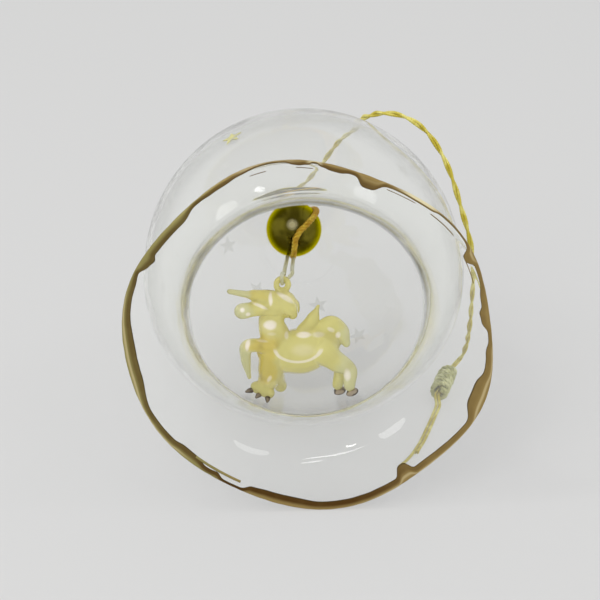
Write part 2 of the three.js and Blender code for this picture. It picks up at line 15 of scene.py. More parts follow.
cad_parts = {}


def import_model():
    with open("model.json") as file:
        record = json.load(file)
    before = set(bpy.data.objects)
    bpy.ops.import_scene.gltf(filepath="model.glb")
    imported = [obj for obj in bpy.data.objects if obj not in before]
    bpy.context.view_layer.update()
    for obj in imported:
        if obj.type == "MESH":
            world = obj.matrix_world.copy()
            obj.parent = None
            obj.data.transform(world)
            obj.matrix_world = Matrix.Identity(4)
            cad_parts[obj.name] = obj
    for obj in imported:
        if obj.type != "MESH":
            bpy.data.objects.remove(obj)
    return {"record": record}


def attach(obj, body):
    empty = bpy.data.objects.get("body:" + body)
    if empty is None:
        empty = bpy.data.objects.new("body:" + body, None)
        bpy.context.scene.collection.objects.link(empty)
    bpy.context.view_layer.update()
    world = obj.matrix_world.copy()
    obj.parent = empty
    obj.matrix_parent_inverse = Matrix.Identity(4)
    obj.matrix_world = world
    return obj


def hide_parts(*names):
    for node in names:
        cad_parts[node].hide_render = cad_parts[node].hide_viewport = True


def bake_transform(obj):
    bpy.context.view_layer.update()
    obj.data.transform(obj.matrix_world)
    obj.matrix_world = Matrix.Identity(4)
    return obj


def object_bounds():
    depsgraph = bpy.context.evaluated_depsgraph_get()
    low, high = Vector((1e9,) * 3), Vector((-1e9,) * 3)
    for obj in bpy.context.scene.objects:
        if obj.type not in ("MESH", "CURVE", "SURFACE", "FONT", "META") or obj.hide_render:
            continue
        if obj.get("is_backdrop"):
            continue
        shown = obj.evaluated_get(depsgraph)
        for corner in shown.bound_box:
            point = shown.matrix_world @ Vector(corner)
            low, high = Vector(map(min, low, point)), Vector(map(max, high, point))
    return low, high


LOG = logging.getLogger("glass_bell")
MM = 0.001

Colour = tuple[float, float, float]
Place = tuple[float, float, float]
Station = tuple[float, float, float, float]
Pair = tuple[float, float]
Ball = tuple[Vector, float]
Curve = Callable[[float], Pair]

CORD_STEP = 0.14 * MM


class Body(str, Enum):
    """The moving bodies of the frame."""

    BELL = "bell"
    BEAD = "bead"
    STRANDS = "strands"
    FIGURE = "figure"


class Slot(str, Enum):
    """The record's material slots."""

    GLASS = "clear_glass"
    LIP_GILT = "lip_gilt"
    STAR_GILT = "star_gilt"
    BEAD = "bead_mirror"
    CORD = "metallic_cord"
    ANIMAL = "yellow_glass"
    DARK = "dark_glass"


class Wire:
    """A number that runs through a material's nodes and takes part in Python arithmetic."""

    def __init__(self, board: Board, socket: bpy.types.NodeSocket) -> None:
        """Keeps the board that the socket is on, and the socket."""
        self.board = board
        self.socket = socket

    def _join(self, operation: str, left: Wire | float, right: Wire | float) -> Wire:
        """Adds one Math node.

        Args:
            operation: the Math node's operation.
            left: the first value.
            right: the second value.

        Returns:
            The node's result.
        """
        made = self.board.node("ShaderNodeMath", {"operation": operation}, {0: left, 1: right})
        return Wire(self.board, made.outputs[0])

    def __add__(self, other: Wire | float) -> Wire:
        """Adds."""
        return self._join("ADD", self, other)

    def __radd__(self, other: float) -> Wire:
        """Adds to a number."""
        return self._join("ADD", other, self)

    def __sub__(self, other: Wire | float) -> Wire:
        """Subtracts."""
        return self._join("SUBTRACT", self, other)

    def __rsub__(self, other: float) -> Wire:
        """Subtracts from a number."""
        return self._join("SUBTRACT", other, self)

    def __mul__(self, other: Wire | float) -> Wire:
        """Multiplies."""
        return self._join("MULTIPLY", self, other)

    def __rmul__(self, other: float) -> Wire:
        """Multiplies a number."""
        return self._join("MULTIPLY", other, self)

    def step(self, low: float, high: float) -> Wire:
        """Turns the value into a smooth mask.

        Args:
            low: the value that gives 0.
            high: the value that gives 1.

        Returns:
            A mask between 0 and 1.
        """
        made = self.board.node(
            "ShaderNodeMapRange",
            {"interpolation_type": "SMOOTHSTEP"},
            {"Value": self, "From Min": low, "From Max": high},
        )
        return Wire(self.board, made.outputs[0])


class Board:
    """One material's nodes, round a Principled shader."""

    def __init__(self, name: str) -> None:
        """Starts a material with nothing but its shader and output.

        Args:
            name: the material's name.
        """
        self.material = bpy.data.materials.new(name)
        self.material.use_nodes = True
        self.tree = self.material.node_tree
        self.shader = self.tree.nodes["Principled BSDF"]

    def node(
        self,
        kind: str,
        settings: dict[str, object] | None = None,
        inputs: dict[str | int, object] | None = None,
    ) -> bpy.types.Node:
        """Adds a node.

        Args:
            kind: the node's type.
            settings: its own properties, set first.
            inputs: values or links for its sockets, by name or number.

        Returns:
            The node.
        """
        made = self.tree.nodes.new(kind)
        for key, value in (settings or {}).items():
            setattr(made, key, value)
        for key, value in (inputs or {}).items():
            self.feed(made.inputs[key], value)
        return made

    def feed(self, socket: bpy.types.NodeSocket, value: object) -> None:
        """Links or sets a socket.

        Args:
            socket: the input socket.
            value: a wire, an output socket or a plain value.
        """
        if isinstance(value, Wire):
            self.tree.links.new(value.socket, socket)
        elif isinstance(value, bpy.types.NodeSocket):
            self.tree.links.new(value, socket)
        elif isinstance(value, tuple) and len(value) == 3 and socket.type == "RGBA":
            socket.default_value = (*value, 1.0)
        else:
            socket.default_value = value

    def principled(self, **inputs: object) -> None:
        """Feeds the Principled shader's sockets, named with underscores for spaces."""
        for key, value in inputs.items():
            self.feed(self.shader.inputs[key.replace("_", " ").title().replace("Ior", "IOR")], value)

    def place(self) -> bpy.types.NodeSocket:
        """The point on the piece, in metres."""
        return self.node("ShaderNodeTexCoord").outputs["Object"]

    def coordinate(self, axis: str) -> Wire:
        """One coordinate of the point on the piece, in metres."""
        made = self.node("ShaderNodeSeparateXYZ", None, {0: self.place()})
        return Wire(self, made.outputs[axis])

    def attribute(self, name: str) -> Wire:
        """A number that the piece's corners carry."""
        made = self.node("ShaderNodeAttribute", {"attribute_name": name})
        return Wire(self, made.outputs["Fac"])

    def edge_on(self, blend: float) -> Wire:
        """How far the surface is seen edge-on, from 0 to 1."""
        made = self.node("ShaderNodeLayerWeight", None, {"Blend": blend})
        return Wire(self, made.outputs["Facing"])

    def cloud(self, scale: float, detail: float = 2.0, stretch: Place = (1, 1, 1)) -> Wire:
        """Adds a noise.

        Args:
            scale: its cells in a metre.
            detail: its octaves.
            stretch: how much faster it changes along each axis.

        Returns:
            The noise, about 0.5.
        """
        mapped = self.node("ShaderNodeMapping", None, {"Vector": self.place(), "Scale": stretch})
        made = self.node(
            "ShaderNodeTexNoise",
            None,
            {"Vector": mapped.outputs[0], "Scale": scale, "Detail": detail},
        )
        return Wire(self, made.outputs[0])

    def mix(self, factor: Wire, first: object, second: object) -> bpy.types.NodeSocket:
        """Mixes two colours.

        Args:
            factor: 0 for the first, 1 for the second.
            first: a colour or an output socket.
            second: a colour or an output socket.

        Returns:
            The mixed colour.
        """
        made = self.node("ShaderNodeMix", {"data_type": "RGBA"}, {0: factor, 6: first, 7: second})
        return made.outputs[2]

    def bump(self, height: Wire, strength: float, distance: float) -> bpy.types.NodeSocket:
        """Adds relief.

        Args:
            height: the relief's height, from 0 to 1.
            strength: how much of it shows.
            distance: what a height of 1 stands for, in metres.

        Returns:
            The normal.
        """
        made = self.node(
            "ShaderNodeBump",
            None,
            {"Strength": strength, "Distance": distance, "Height": height},
        )
        return made.outputs[0]

    def cover(self, factor: Wire, other: bpy.types.Node) -> None:
        """Mixes another shader over the Principled one.

        Args:
            factor: 0 for the Principled shader, 1 for the other.
            other: the other shader's node.
        """
        mixed = self.node(
            "ShaderNodeMixShader",
            None,
            {0: factor, 1: self.shader.outputs[0], 2: other.outputs[0]},
        )
        self.feed(self.tree.nodes["Material Output"].inputs["Surface"], mixed.outputs[0])


@dataclass(frozen=True)
class ClearGlass:
    """Clear blown glass: slow waves in the wall, grey-green and faded edge-on, most in the lower front."""

    clear: Colour = (0.995, 1.0, 0.99)
    edge: Colour = (0.9, 0.92, 0.85)
    # Colour of the painted glow of the glass.
    painted_glass_glow: Colour = (1.0, 1.0, 0.95)
    ior: float = 1.45
    wave_depth: float = 1.2 * MM
    front_y: Pair = (-10 * MM, 8 * MM)
    front_z: Pair = (16 * MM, 34 * MM)
    edge_fade: float = 0.35
    front_fade: float = 0.55

    def make(self) -> bpy.types.Material:
        """Makes the material.

        Returns:
            The material.
        """
        board = Board("clear_blown_glass")
        waves = board.cloud(55, 1.0) + 0.4 * board.cloud(160, 1.0, (1.0, 0.35, 1.0))
        board.principled(
            base_color=board.mix(board.edge_on(0.3).step(0.35, 1.0), self.clear, self.edge),
            roughness=0.0,
            ior=self.ior,
            transmission_weight=0.95,
            # Painted glow: the glass gives off a faint pale light all over.
            emission_color=self.painted_glass_glow,
            emission_strength=0.012,
            normal=board.bump(waves, 0.15, self.wave_depth),
        )
        front = 1 - board.coordinate("Y").step(*self.front_y)
        front = front * (1 - board.coordinate("Z").step(*self.front_z))
        fade = (self.edge_fade + self.front_fade * front) * board.edge_on(0.5).step(0.5, 0.85)
        board.cover(fade, board.node("ShaderNodeBsdfTransparent"))
        return board.material


@dataclass(frozen=True)
class LipGilt:
    """Fired gilding: olive at the left, bronze at the right, painted brown shade inside, most so below."""

    bronze: Colour = (0.42, 0.3, 0.11)
    olive: Colour = (0.4, 0.35, 0.13)
    # Colour of the painted shade on the inner face.
    brown: Colour = (0.12, 0.06, 0.014)
    # Colour of the painted highlight along the lip's crest.
    bright: Colour = (0.85, 0.72, 0.42)
    edge: Colour = (0.1, 0.075, 0.035)
    bare: Colour = (0.82, 0.74, 0.46)
    left_to_right: Pair = (-30 * MM, -6 * MM)
    far_right: Pair = (8 * MM, 26 * MM)
    bottom: Pair = (3 * MM, 16 * MM)
    inner_face: Pair = (0.3, 0.62)
    relief: float = 0.2 * MM

    def make(self) -> bpy.types.Material:
        """Makes the material.

        Returns:
            The material.
        """
        board = Board("lip_gilding")
        across = board.attribute("across")
        slow = board.cloud(38, 1.0)
        patches = board.cloud(260, 3.0)
        # Painted reflection in part, own tone in part: the gilding turns from olive at the left to bronze
        # at the right.
        side = board.coordinate("X").step(*self.left_to_right) + 1.4 * (slow - 0.5)
        toned = board.mix(side.step(0.2, 0.8), self.olive, self.bronze)
        # Painted shade: the inner face is mixed towards brown, most at the bottom and least at the far
        # right.
        below = 1 - board.coordinate("Z").step(*self.bottom)
        right = board.coordinate("X").step(*self.far_right)
        inner = 1 - across.step(*self.inner_face)
        shade = inner * (0.5 - 0.4 * right + 0.3 * below + 0.4 * patches)
        toned = board.mix(shade, toned, self.brown)
        # Painted highlight: a bright line along the crest of the lip.
        line = across.step(0.5, 0.58) * (1 - across.step(0.62, 0.7)) * slow.step(0.42, 0.55)
        toned = board.mix(0.55 * line, toned, self.bright)
        worn = board.attribute("worn") * across.step(0.2, 0.3) * (1 - across.step(0.75, 0.85))
        toned = board.mix(worn, toned, self.bare)
        outline = (1 - across.step(0.02, 0.12)) + across.step(0.92, 0.99)
        board.principled(
            base_color=board.mix(0.75 * outline, toned, self.edge),
            metallic=0.95 - 0.5 * worn,
            roughness=0.42 + 0.2 * patches,
            normal=board.bump(patches, 0.3, self.relief),
        )
        return board.material


@dataclass(frozen=True)
class StarGilt:
    """Pale gilding of the stars, more or less worn away."""

    name: str = "star_gilding"
    colour: Colour = (0.74, 0.7, 0.3)
    worn: Colour = (0.6, 0.6, 0.45)
    cover: float = 0.9
    relief: float = 0.08 * MM

    def make(self) -> bpy.types.Material:
        """Makes the material.

        Returns:
            The material.
        """
        board = Board(self.name)
        wear = board.cloud(900, 3.0)
        board.principled(
            base_color=board.mix(wear.step(0.5, 0.68), self.colour, self.worn),
            metallic=0.2,
            roughness=0.35 + 0.25 * wear,
            alpha=self.cover * (1.3 - 0.6 * wear),
            normal=board.bump(wear, 0.3, self.relief),
        )
        return board.material


@dataclass(frozen=True)
class BeadMirror:
    """Mirror bead: dark gold, painted bright yellow sheen at a low angle, a painted highlight on its face.
    """

    middle: Vector
    highlight_at: Place = (-0.5 * MM, -4.9 * MM, 3.4 * MM)
    colour: Colour = (0.07, 0.056, 0.005)
    streak: Colour = (0.2, 0.17, 0.02)
    highlight: Colour = (0.8, 0.72, 0.42)
    # Colour of the painted sheen at a low angle; also the metal's edge tint.
    edge: Colour = (0.72, 0.66, 0.06)

    def make(self) -> bpy.types.Material:
        """Makes the material.

        Returns:
            The material.
        """
        board = Board("gold_mirror_bead")
        streaks = board.cloud(260, 2.0, (1.0, 0.25, 1.0))
        toned = board.mix(streaks.step(0.45, 0.7), self.colour, self.streak)
        # Painted sheen: bright yellow where the bead is seen edge-on.
        toned = board.mix(board.edge_on(0.5).step(0.36, 0.85), toned, self.edge)
        away = 0.0
        for axis, start, aside in zip("XYZ", self.middle, self.highlight_at):
            off = (board.coordinate(axis) - (start + aside)) * (1 / MM)
            away = away + off * off
        shown = 1 - away.step(-0.8, 2.2)
        board.principled(
            base_color=board.mix(0.9 * shown, toned, self.highlight),
            metallic=1 - 0.7 * shown,
            roughness=0.05 + 0.06 * streaks + 0.3 * shown,
            specular_tint=self.edge,
        )
        return board.material


@dataclass(frozen=True)
class MetallicThread:
    """Twisted metallic thread: pale gold, with deeper and greener turns."""

    name: str = "metallic_thread"
    pale: Colour = (0.86, 0.79, 0.24)
    deep: Colour = (0.66, 0.55, 0.06)
    relief: float = 0.06 * MM

    def make(self) -> bpy.types.Material:
        """Makes the material.

        Returns:
            The material.
        """
        board = Board(self.name)
        turns = board.cloud(420, 2.0)
        glint = board.cloud(3200, 2.0)
        board.principled(
            base_color=board.mix(turns.step(0.4, 0.62), self.deep, self.pale),
            metallic=0.45,
            roughness=0.25 + 0.3 * glint,
            normal=board.bump(glint, 0.4, self.relief),
        )
        return board.material


@dataclass(frozen=True)
class Spot:
    """A painted highlight: its place and half-sizes in millimetres, slope in degrees and strength."""

    across: float
    lift: float
    wide: float
    high: float
    slope: float
    strength: float

    def shown(self, across: Wire, lift: Wire) -> Wire:
        """How far the highlight shows.

        Args:
            across: the place across the animal, in millimetres from its ring.
            lift: the place up the animal, in millimetres from its ring.

        Returns:
            The strength in its middle, and 0 outside it.
        """
        turn = math.radians(self.slope)
        right = across - self.across
        above = lift - self.lift
        along = (right * math.cos(turn) + above * math.sin(turn)) * (1 / self.wide)
        over = (above * math.cos(turn) - right * math.sin(turn)) * (1 / self.high)
        return self.strength * (1 - (along * along + over * over).step(0.0, 1.3))


@dataclass(frozen=True)
class AnimalGlass:
    """Yellow lampworked glass: orange chest and brow, paler where drawn thin, painted highlights and glow.
    """

    ring: Vector
    yellow: Colour = (1.0, 0.94, 0.34)
    orange: Colour = (1.0, 0.83, 0.18)
    pale: Colour = (0.97, 0.99, 0.62)
    deep: Colour = (0.76, 0.68, 0.2)
    highlight: Colour = (1.0, 0.93, 0.92)
    painted_glow: Colour = (0.09, 0.07, 0.02)
    spots: tuple[Spot, ...] = (
        Spot(-2.7, -8.4, 1.5, 1.2, 0, 1.0),
        Spot(-2.4, -10.3, 1.2, 0.5, 0, 0.4),
        Spot(0.9, -10.6, 0.7, 1.1, 0, 0.55),
        Spot(4.4, -10.6, 1.7, 0.8, 0, 1.0),
        Spot(7.5, -10.6, 1.7, 0.8, 0, 0.5),
        Spot(4.3, -13.8, 3.2, 1.7, 0, 0.3),
        Spot(-2.4, -3.0, 0.5, 1.7, 0, 0.8),
        Spot(0.6, -2.8, 2.4, 0.7, -33, 0.7),
        Spot(-8.4, -5.2, 0.6, 0.6, 0, 0.8),
        Spot(-7.2, -6.1, 0.6, 0.5, 0, 0.8),
        Spot(-4.7, -4.4, 2.1, 0.45, -24, 0.7),
        Spot(-7.2, -12.5, 0.55, 1.5, -10, 0.8),
        Spot(-4.5, -11.7, 1.5, 0.4, -10, 0.5),
        Spot(10.1, -9.6, 1.0, 0.6, -30, 0.6),
        Spot(11.6, -10.7, 0.7, 0.8, 0, 0.8),
        Spot(-2.9, -19.8, 0.55, 0.9, -20, 0.6),
        Spot(13.6, -19.2, 0.8, 1.6, 0, 0.7),
    )
    # The curved painted highlight: its middle across and up, and its half-width and half-height, in
    # millimetres.
    painted_highlight_curve: tuple[float, float, float, float] = (3.2, -13.0, 5.0, 3.3)
    spot_tilt: float = 27.0
    chest_left: Pair = (-8.2 * MM, -5.2 * MM)
    chest_right: Pair = (-3.6 * MM, -0.1 * MM)
    chest_foot: Pair = (-24 * MM, -21 * MM)
    chest_top: Pair = (-13 * MM, -10 * MM)
    brow_foot: Pair = (-3.4 * MM, -2.0 * MM)
    brow_right: Pair = (-3.0 * MM, -1.0 * MM)
    rump: Pair = (9.5 * MM, 13.5 * MM)
    unevenness: float = 6 * MM
    relief: float = 0.3 * MM

    def make(self) -> bpy.types.Material:
        """Makes the material.

        Returns:
            The material.
        """
        board = Board("yellow_glass")
        swirl = board.cloud(240, 2.0)
        across = board.coordinate("X") - self.ring.x + self.unevenness * (swirl - 0.5)
        up = board.coordinate("Z") - self.ring.z
        body = across.step(*self.chest_left)
        chest = body * (1 - across.step(*self.chest_right))
        chest = chest * up.step(*self.chest_foot) * (1 - up.step(*self.chest_top))
        brow = up.step(*self.brow_foot) * (1 - across.step(*self.brow_right))
        drawn = (1 - body) + across.step(*self.rump)
        toned = board.mix((chest + 0.6 * brow).step(0.0, 1.0), self.yellow, self.orange)
        toned = board.mix(drawn.step(0.0, 1.0) * 0.7, toned, self.pale)
        toned = board.mix(0.7 * board.edge_on(0.5).step(0.4, 1.0), toned, self.deep)
        shown = self._highlights(board, swirl)
        board.principled(
            base_color=board.mix(0.8 * shown, toned, self.highlight),
            roughness=0.02 + 0.04 * swirl,
            ior=1.5,
            transmission_weight=0.5,
            coat_weight=1.0,
            coat_roughness=0.02,
            # Painted glow: the whole animal gives off a faint light, and more at its painted highlights.
            emission_color=board.mix(shown, self.painted_glow, self.highlight),
            emission_strength=0.22,
            normal=board.bump(swirl, 0.2, self.relief),
        )
        return board.material

    def _highlights(self, board: Board, swirl: Wire) -> Wire:
        """Paints highlights, soft spots and one curved line, laid out in a plane that faces the camera at
        rest.

        Args:
            board: the material's nodes.
            swirl: the noise of the glass, which makes the spots uneven.

        Returns:
            A mask that is 1 where a highlight is painted.
        """
        tilt = math.radians(self.spot_tilt)
        away = board.coordinate("Y") - self.ring.y
        across = (board.coordinate("X") - self.ring.x) * (1 / MM) + 0.9 * (swirl - 0.5)
        lift = (math.cos(tilt) / MM) * (board.coordinate("Z") - self.ring.z) + (math.sin(tilt) / MM) * away
        # The curved painted highlight: the lower part of a thin ellipse.
        middle_across, middle_lift, wide, high = self.painted_highlight_curve
        aside = (across - middle_across) * (1 / wide)
        below = (lift - middle_lift) * (1 / high)
        off = aside * aside + below * below - 1
        shown = 0.7 * (1 - (off * off).step(0.0, 0.06)) * (1 - below.step(-0.35, 0.0))
        for spot in self.spots:
            shown = shown + spot.shown(across, lift)
        return shown.step(0.0, 1.0)


@dataclass(frozen=True)
class DarkGlass:
    """Dark brown glass of the claws and hooves, paler where it faces the eye."""

    name: str = "dark_glass_claws"
    colour: Colour = (0.12, 0.085, 0.065)
    thin: Colour = (0.4, 0.32, 0.22)

    def make(self) -> bpy.types.Material:
        """Makes the material.

        Returns:
            The material.
        """
        board = Board(self.name)
        swirl = board.cloud(700, 2.0)
        thinness = (swirl - 0.6 * board.edge_on(0.5)).step(0.1, 0.4)
        board.principled(
            base_color=board.mix(thinness, self.colour, self.thin),
            roughness=0.08 + 0.1 * swirl,
            ior=1.5,
            transmission_weight=0.25,
        )
        return board.material


class Bench:
    """Modelling steps as done by hand, each on one piece."""

    SPIN_WELD = 2e-6
    WELD = 1e-7

    @staticmethod
    def clear() -> None:
        """Deselects everything, in object mode."""
        if bpy.context.mode != "OBJECT":
            bpy.ops.object.mode_set(mode="OBJECT")
        bpy.ops.object.select_all(action="DESELECT")

    @staticmethod
    def pick(*pieces: bpy.types.Object) -> None:
        """Selects pieces.

        Args:
            pieces: the pieces, the first of which becomes the active one.
        """
        Bench.clear()
        for piece in pieces:
            piece.select_set(True)
        bpy.context.view_layer.objects.active = pieces[0]

    @staticmethod
    def spun(name: str, outline: Sequence[Pair], steps: int) -> bpy.types.Object:
        """Turns an outline round the Z axis.

        Args:
            name: the piece's name.
            outline: radius and height of each point, in metres, the last joined to the first.
            steps: how many steps make the full turn.

        Returns:
            The closed piece, with its faces pointing outwards.
        """
        Bench.clear()
        radius, height = outline[0]
        bpy.ops.mesh.primitive_plane_add(size=MM, location=(0, 0, 0))
        piece = bpy.context.object
        piece.name = name
        bpy.ops.object.mode_set(mode="EDIT")
        bpy.ops.mesh.select_all(action="SELECT")
        bpy.ops.mesh.merge(type="CENTER")
        bpy.ops.transform.translate(value=(radius, 0, height))
        for (r0, h0), (r1, h1) in zip(outline, [*outline[1:], outline[0]]):
            bpy.ops.mesh.extrude_region_move(TRANSFORM_OT_translate={"value": (r1 - r0, 0, h1 - h0)})
        bpy.ops.mesh.select_all(action="SELECT")
        bpy.ops.mesh.spin(steps=steps, angle=2 * math.pi, center=(0, 0, 0), axis=(0, 0, 1))
        bpy.ops.mesh.select_all(action="SELECT")
        bpy.ops.mesh.remove_doubles(threshold=Bench.SPIN_WELD)
        bpy.ops.mesh.normals_make_consistent(inside=False)
        bpy.ops.object.mode_set(mode="OBJECT")
        return piece

    @staticmethod
    def moved(piece: bpy.types.Object, move: Callable[[Vector], Vector]) -> None:
        """Moves each corner of a piece.

        Args:
            piece: the piece.
            move: gives a corner's new place from its old one.
        """
        for corner in piece.data.vertices:
            corner.co = move(corner.co)
        piece.data.update()

    @staticmethod
    def carry(piece: bpy.types.Object, name: str, values: Sequence[float]) -> None:
        """Gives each corner of a piece a number that its material can read.

        Args:
            piece: the piece.
            name: the number's name.
            values: one number for each corner.
        """
        piece.data.attributes.new(name, "FLOAT", "POINT").data.foreach_set("value", values)

    @staticmethod
    def outward(piece: bpy.types.Object) -> None:
        """Merges doubles and makes the faces point outwards.

        Args:
            piece: the piece.
        """
        Bench.pick(piece)
        bpy.ops.object.mode_set(mode="EDIT")
        bpy.ops.mesh.select_all(action="SELECT")
        bpy.ops.mesh.remove_doubles(threshold=Bench.WELD)
        bpy.ops.mesh.normals_make_consistent(inside=False)
        bpy.ops.object.mode_set(mode="OBJECT")

    @staticmethod
    def smooth(piece: bpy.types.Object) -> None:
        """Shades a piece smooth."""
        Bench.pick(piece)
        bpy.ops.object.shade_smooth()

    @staticmethod
    def modify(piece: bpy.types.Object, kind: str, **settings: object) -> None:
        """Adds a modifier and applies it.

        Args:
            piece: the piece.
            kind: the modifier's type.
            settings: its settings.
        """
        Bench.pick(piece)
        made = piece.modifiers.new(kind.lower(), kind)
        for key, value in settings.items():
            setattr(made, key, value)
        bpy.ops.object.modifier_apply(modifier=made.name)

    @staticmethod
    def from_faces(name: str, corners: list[Vector], faces: list[Sequence[int]]) -> bpy.types.Object:
        """Makes a piece from corners and faces.

        Args:
            name: the piece's name.
            corners: the places of its corners.
            faces: the corners of each face.

        Returns:
            The piece.
        """
        mesh = bpy.data.meshes.new(name)
        mesh.from_pydata([tuple(corner) for corner in corners], [], faces)
        piece = bpy.data.objects.new(name, mesh)
        bpy.context.collection.objects.link(piece)
        return piece

    @staticmethod
    def dress(
        piece: bpy.types.Object,
        material: bpy.types.Material,
        body: Body | None,
        slot: Slot,
        node: str,
    ) -> None:
        """Gives a piece its material, and its place in the frame.

        Args:
            piece: the piece.
            material: its material.
            body: the body that it moves with, or None for a piece between two, which is left on neither.
            slot: not used.
            node: the node that it stands for.
        """
        piece.data.materials.clear()
        piece.data.materials.append(material)
        if body:
            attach(piece, body.value)
        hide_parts(node)
        LOG.info("%s: %d faces", piece.name, len(piece.data.polygons))


@dataclass
class Route:
    """A smooth line through points, with a frame that doesn't twist."""

    points: list[Vector]
    tangents: list[Vector] = field(default_factory=list)
    sides: list[Vector] = field(default_factory=list)

    @classmethod
    def through(cls, places: Sequence[Vector], spacing: float) -> Route:
        """Draws a centripetal Catmull-Rom curve.

        Args:
            places: the points that it passes.
            spacing: the distance between its samples, in metres.

        Returns:
            The sampled route.
        """
        padded = [2 * places[0] - places[1], *places, 2 * places[-1] - places[-2]]
        dense: list[Vector] = []
        for i in range(1, len(padded) - 2):
            count = max(2, math.ceil((padded[i + 1] - padded[i]).length / (spacing / 4)))
            dense += [cls.between(padded[i - 1 : i + 3], k / count) for k in range(count)]
        dense.append(places[-1].copy())
        return cls(cls._even(dense, spacing))

    @staticmethod
    def between(four: Sequence[Vector], part: float) -> Vector:
        """Finds a point of the curve between the middle two of four points.

        Args:
            four: the points.
            part: 0 at the second point, 1 at the third.

        Returns:
            The point.
        """
        knots = [0.0]
        for a, b in zip(four, four[1:]):
            knots.append(knots[-1] + max((b - a).length, 1e-9) ** 0.5)
        t = knots[1] + (knots[2] - knots[1]) * part
        layer = list(four)
        for level in (1, 2, 3):
            layer = [
                Route._blend(layer[i], layer[i + 1], knots, i, level, t) for i in range(len(layer) - 1)
            ]
        return layer[0]

    @staticmethod
    def _blend(a: Vector, b: Vector, knots: list[float], index: int, level: int, t: float) -> Vector:
        """Makes one step of the curve's pyramid of blends.

        Args:
            a: the first point.
            b: the second point.
            knots: the curve's knots.
            index: the first point's number in its layer.
            level: the layer that the step makes, from 1 to 3.
            t: the place on the curve.

        Returns:
            The blended point.
        """
        if level == 3:
            low, high = knots[1], knots[2]
        else:
            low, high = knots[index], knots[index + level]
        return a.lerp(b, (t - low) / (high - low))

    @staticmethod
    def _even(dense: list[Vector], spacing: float) -> list[Vector]:
        """Spreads points evenly along a dense line.

        Args:
            dense: the line's points.
            spacing: the distance between the new points, in metres.

        Returns:
            The new points, both ends among them.
        """
        lengths = [0.0]
        for a, b in zip(dense, dense[1:]):
            lengths.append(lengths[-1] + (b - a).length)
        count = max(2, round(lengths[-1] / spacing))
        even: list[Vector] = []
        at = 0
        for i in range(count + 1):
            want = lengths[-1] * i / count
            while at < len(dense) - 2 and lengths[at + 1] < want:
                at += 1
            share = (want - lengths[at]) / max(lengths[at + 1] - lengths[at], 1e-12)
            even.append(dense[at].lerp(dense[at + 1], min(max(share, 0.0), 1.0)))
        return even

    def __post_init__(self) -> None:
        """Carries a frame along the line."""
        last = len(self.points) - 1
        self.tangents = [
            (self.points[min(i + 1, last)] - self.points[max(i - 1, 0)]).normalized()
            for i in range(last + 1)
        ]
        self.sides = [self.tangents[0].orthogonal().normalized()]
        for tangent in self.tangents[1:]:
            side = self.sides[-1] - tangent * self.sides[-1].dot(tangent)
            self.sides.append(side.normalized())

    @property
    def length(self) -> float:
        """The line's length, in metres."""
        return sum((b - a).length for a, b in zip(self.points, self.points[1:]))

    def offset(self, radius: Callable[[float], float], start: float, pitch: float) -> Route:
        """Winds a line round this one.

        Args:
            radius: its distance from this line, by the share of the length.
            start: the angle where it starts.
            pitch: the length of one turn, in metres.

        Returns:
            The wound line.
        """
        wound: list[Vector] = []
        run = 0.0
        last = len(self.points) - 1
        for i, point in enumerate(self.points):
            if i:
                run += (point - self.points[i - 1]).length
            angle = start + 2 * math.pi * run / pitch
            other = self.tangents[i].cross(self.sides[i])
            reach = radius(i / last)
            wound.append(point + reach * (math.cos(angle) * self.sides[i] + math.sin(angle) * other))
        return Route(wound)

    def tube(self, radius: float, sides: int) -> tuple[list[Vector], list[Sequence[int]]]:
        """Sweeps a round section along the line, closed at both ends.

        Args:
            radius: the section's radius, in metres.
            sides: its sides.

        Returns:
            Corners and faces.
        """
        corners: list[Vector] = []
        for point, tangent, side in zip(self.points, self.tangents, self.sides):
            other = tangent.cross(side)
            for k in range(sides):
                angle = 2 * math.pi * k / sides
                corners.append(point + radius * (math.cos(angle) * side + math.sin(angle) * other))
        faces: list[Sequence[int]] = []
        for i in range(len(self.points) - 1):
            for k in range(sides):
                a, b = i * sides + k, i * sides + (k + 1) % sides
                faces.append((a, b, b + sides, a + sides))
        top = (len(self.points) - 1) * sides
        faces.append(tuple(range(sides - 1, -1, -1)))
        faces.append(tuple(range(top, top + sides)))
        return corners, faces


@dataclass(frozen=True)
class Lay:
    """How a cord is laid up: the plies of each strand, and its strands round the middle, in metres."""

    ply_offset: float
    ply_radius: float
    ply_pitch: float
    strands: int = 1
    strand_offset: float = 0.0
    strand_pitch: float = 1.0
    plies: int = 3
    sides: int = 6
    fray: float = 0.0
    frayed_share: float = 0.07

    def make(self, name: str, route: Route) -> bpy.types.Object:
        """Lays the cord along a route.

        Args:
            name: the piece's name.
            route: the cord's middle line.

        Returns:
            The cord as one mesh.
        """
        corners: list[Vector] = []
        faces: list[Sequence[int]] = []
        for i in range(self.strands):
            angle = 2 * math.pi * i / self.strands
            strand = route.offset(lambda share: self.strand_offset, angle, self.strand_pitch)
            for k in range(self.plies):
                ply = strand.offset(self._spread, 2 * math.pi * k / self.plies, self.ply_pitch)
                made, joined = ply.tube(self.ply_radius, self.sides)
                faces += [tuple(corner + len(corners) for corner in face) for face in joined]
                corners += made
        piece = Bench.from_faces(name, corners, faces)
        Bench.smooth(piece)
        return piece

    def _spread(self, share: float) -> float:
        """A ply's distance from its strand's middle: wider at a frayed end."""
        fraying = max(0.0, (share - 1 + self.frayed_share) / self.frayed_share)
        return self.ply_offset * (1 + self.fray * fraying)


THREAD = Lay(0.17 * MM, 0.185 * MM, 1.7 * MM)
LOOP = Lay(0.2 * MM, 0.23 * MM, 2.2 * MM)
LASHING = Lay(0.33 * MM, 0.37 * MM, 2.8 * MM)
TAIL_THREAD = Lay(0.17 * MM, 0.185 * MM, 1.7 * MM, fray=1.2)
DOUBLED = Lay(0.16 * MM, 0.18 * MM, 1.6 * MM, strands=2, strand_offset=0.3 * MM, strand_pitch=11 * MM)
WRAP = Lay(0.32 * MM, 0.36 * MM, 2.8 * MM)


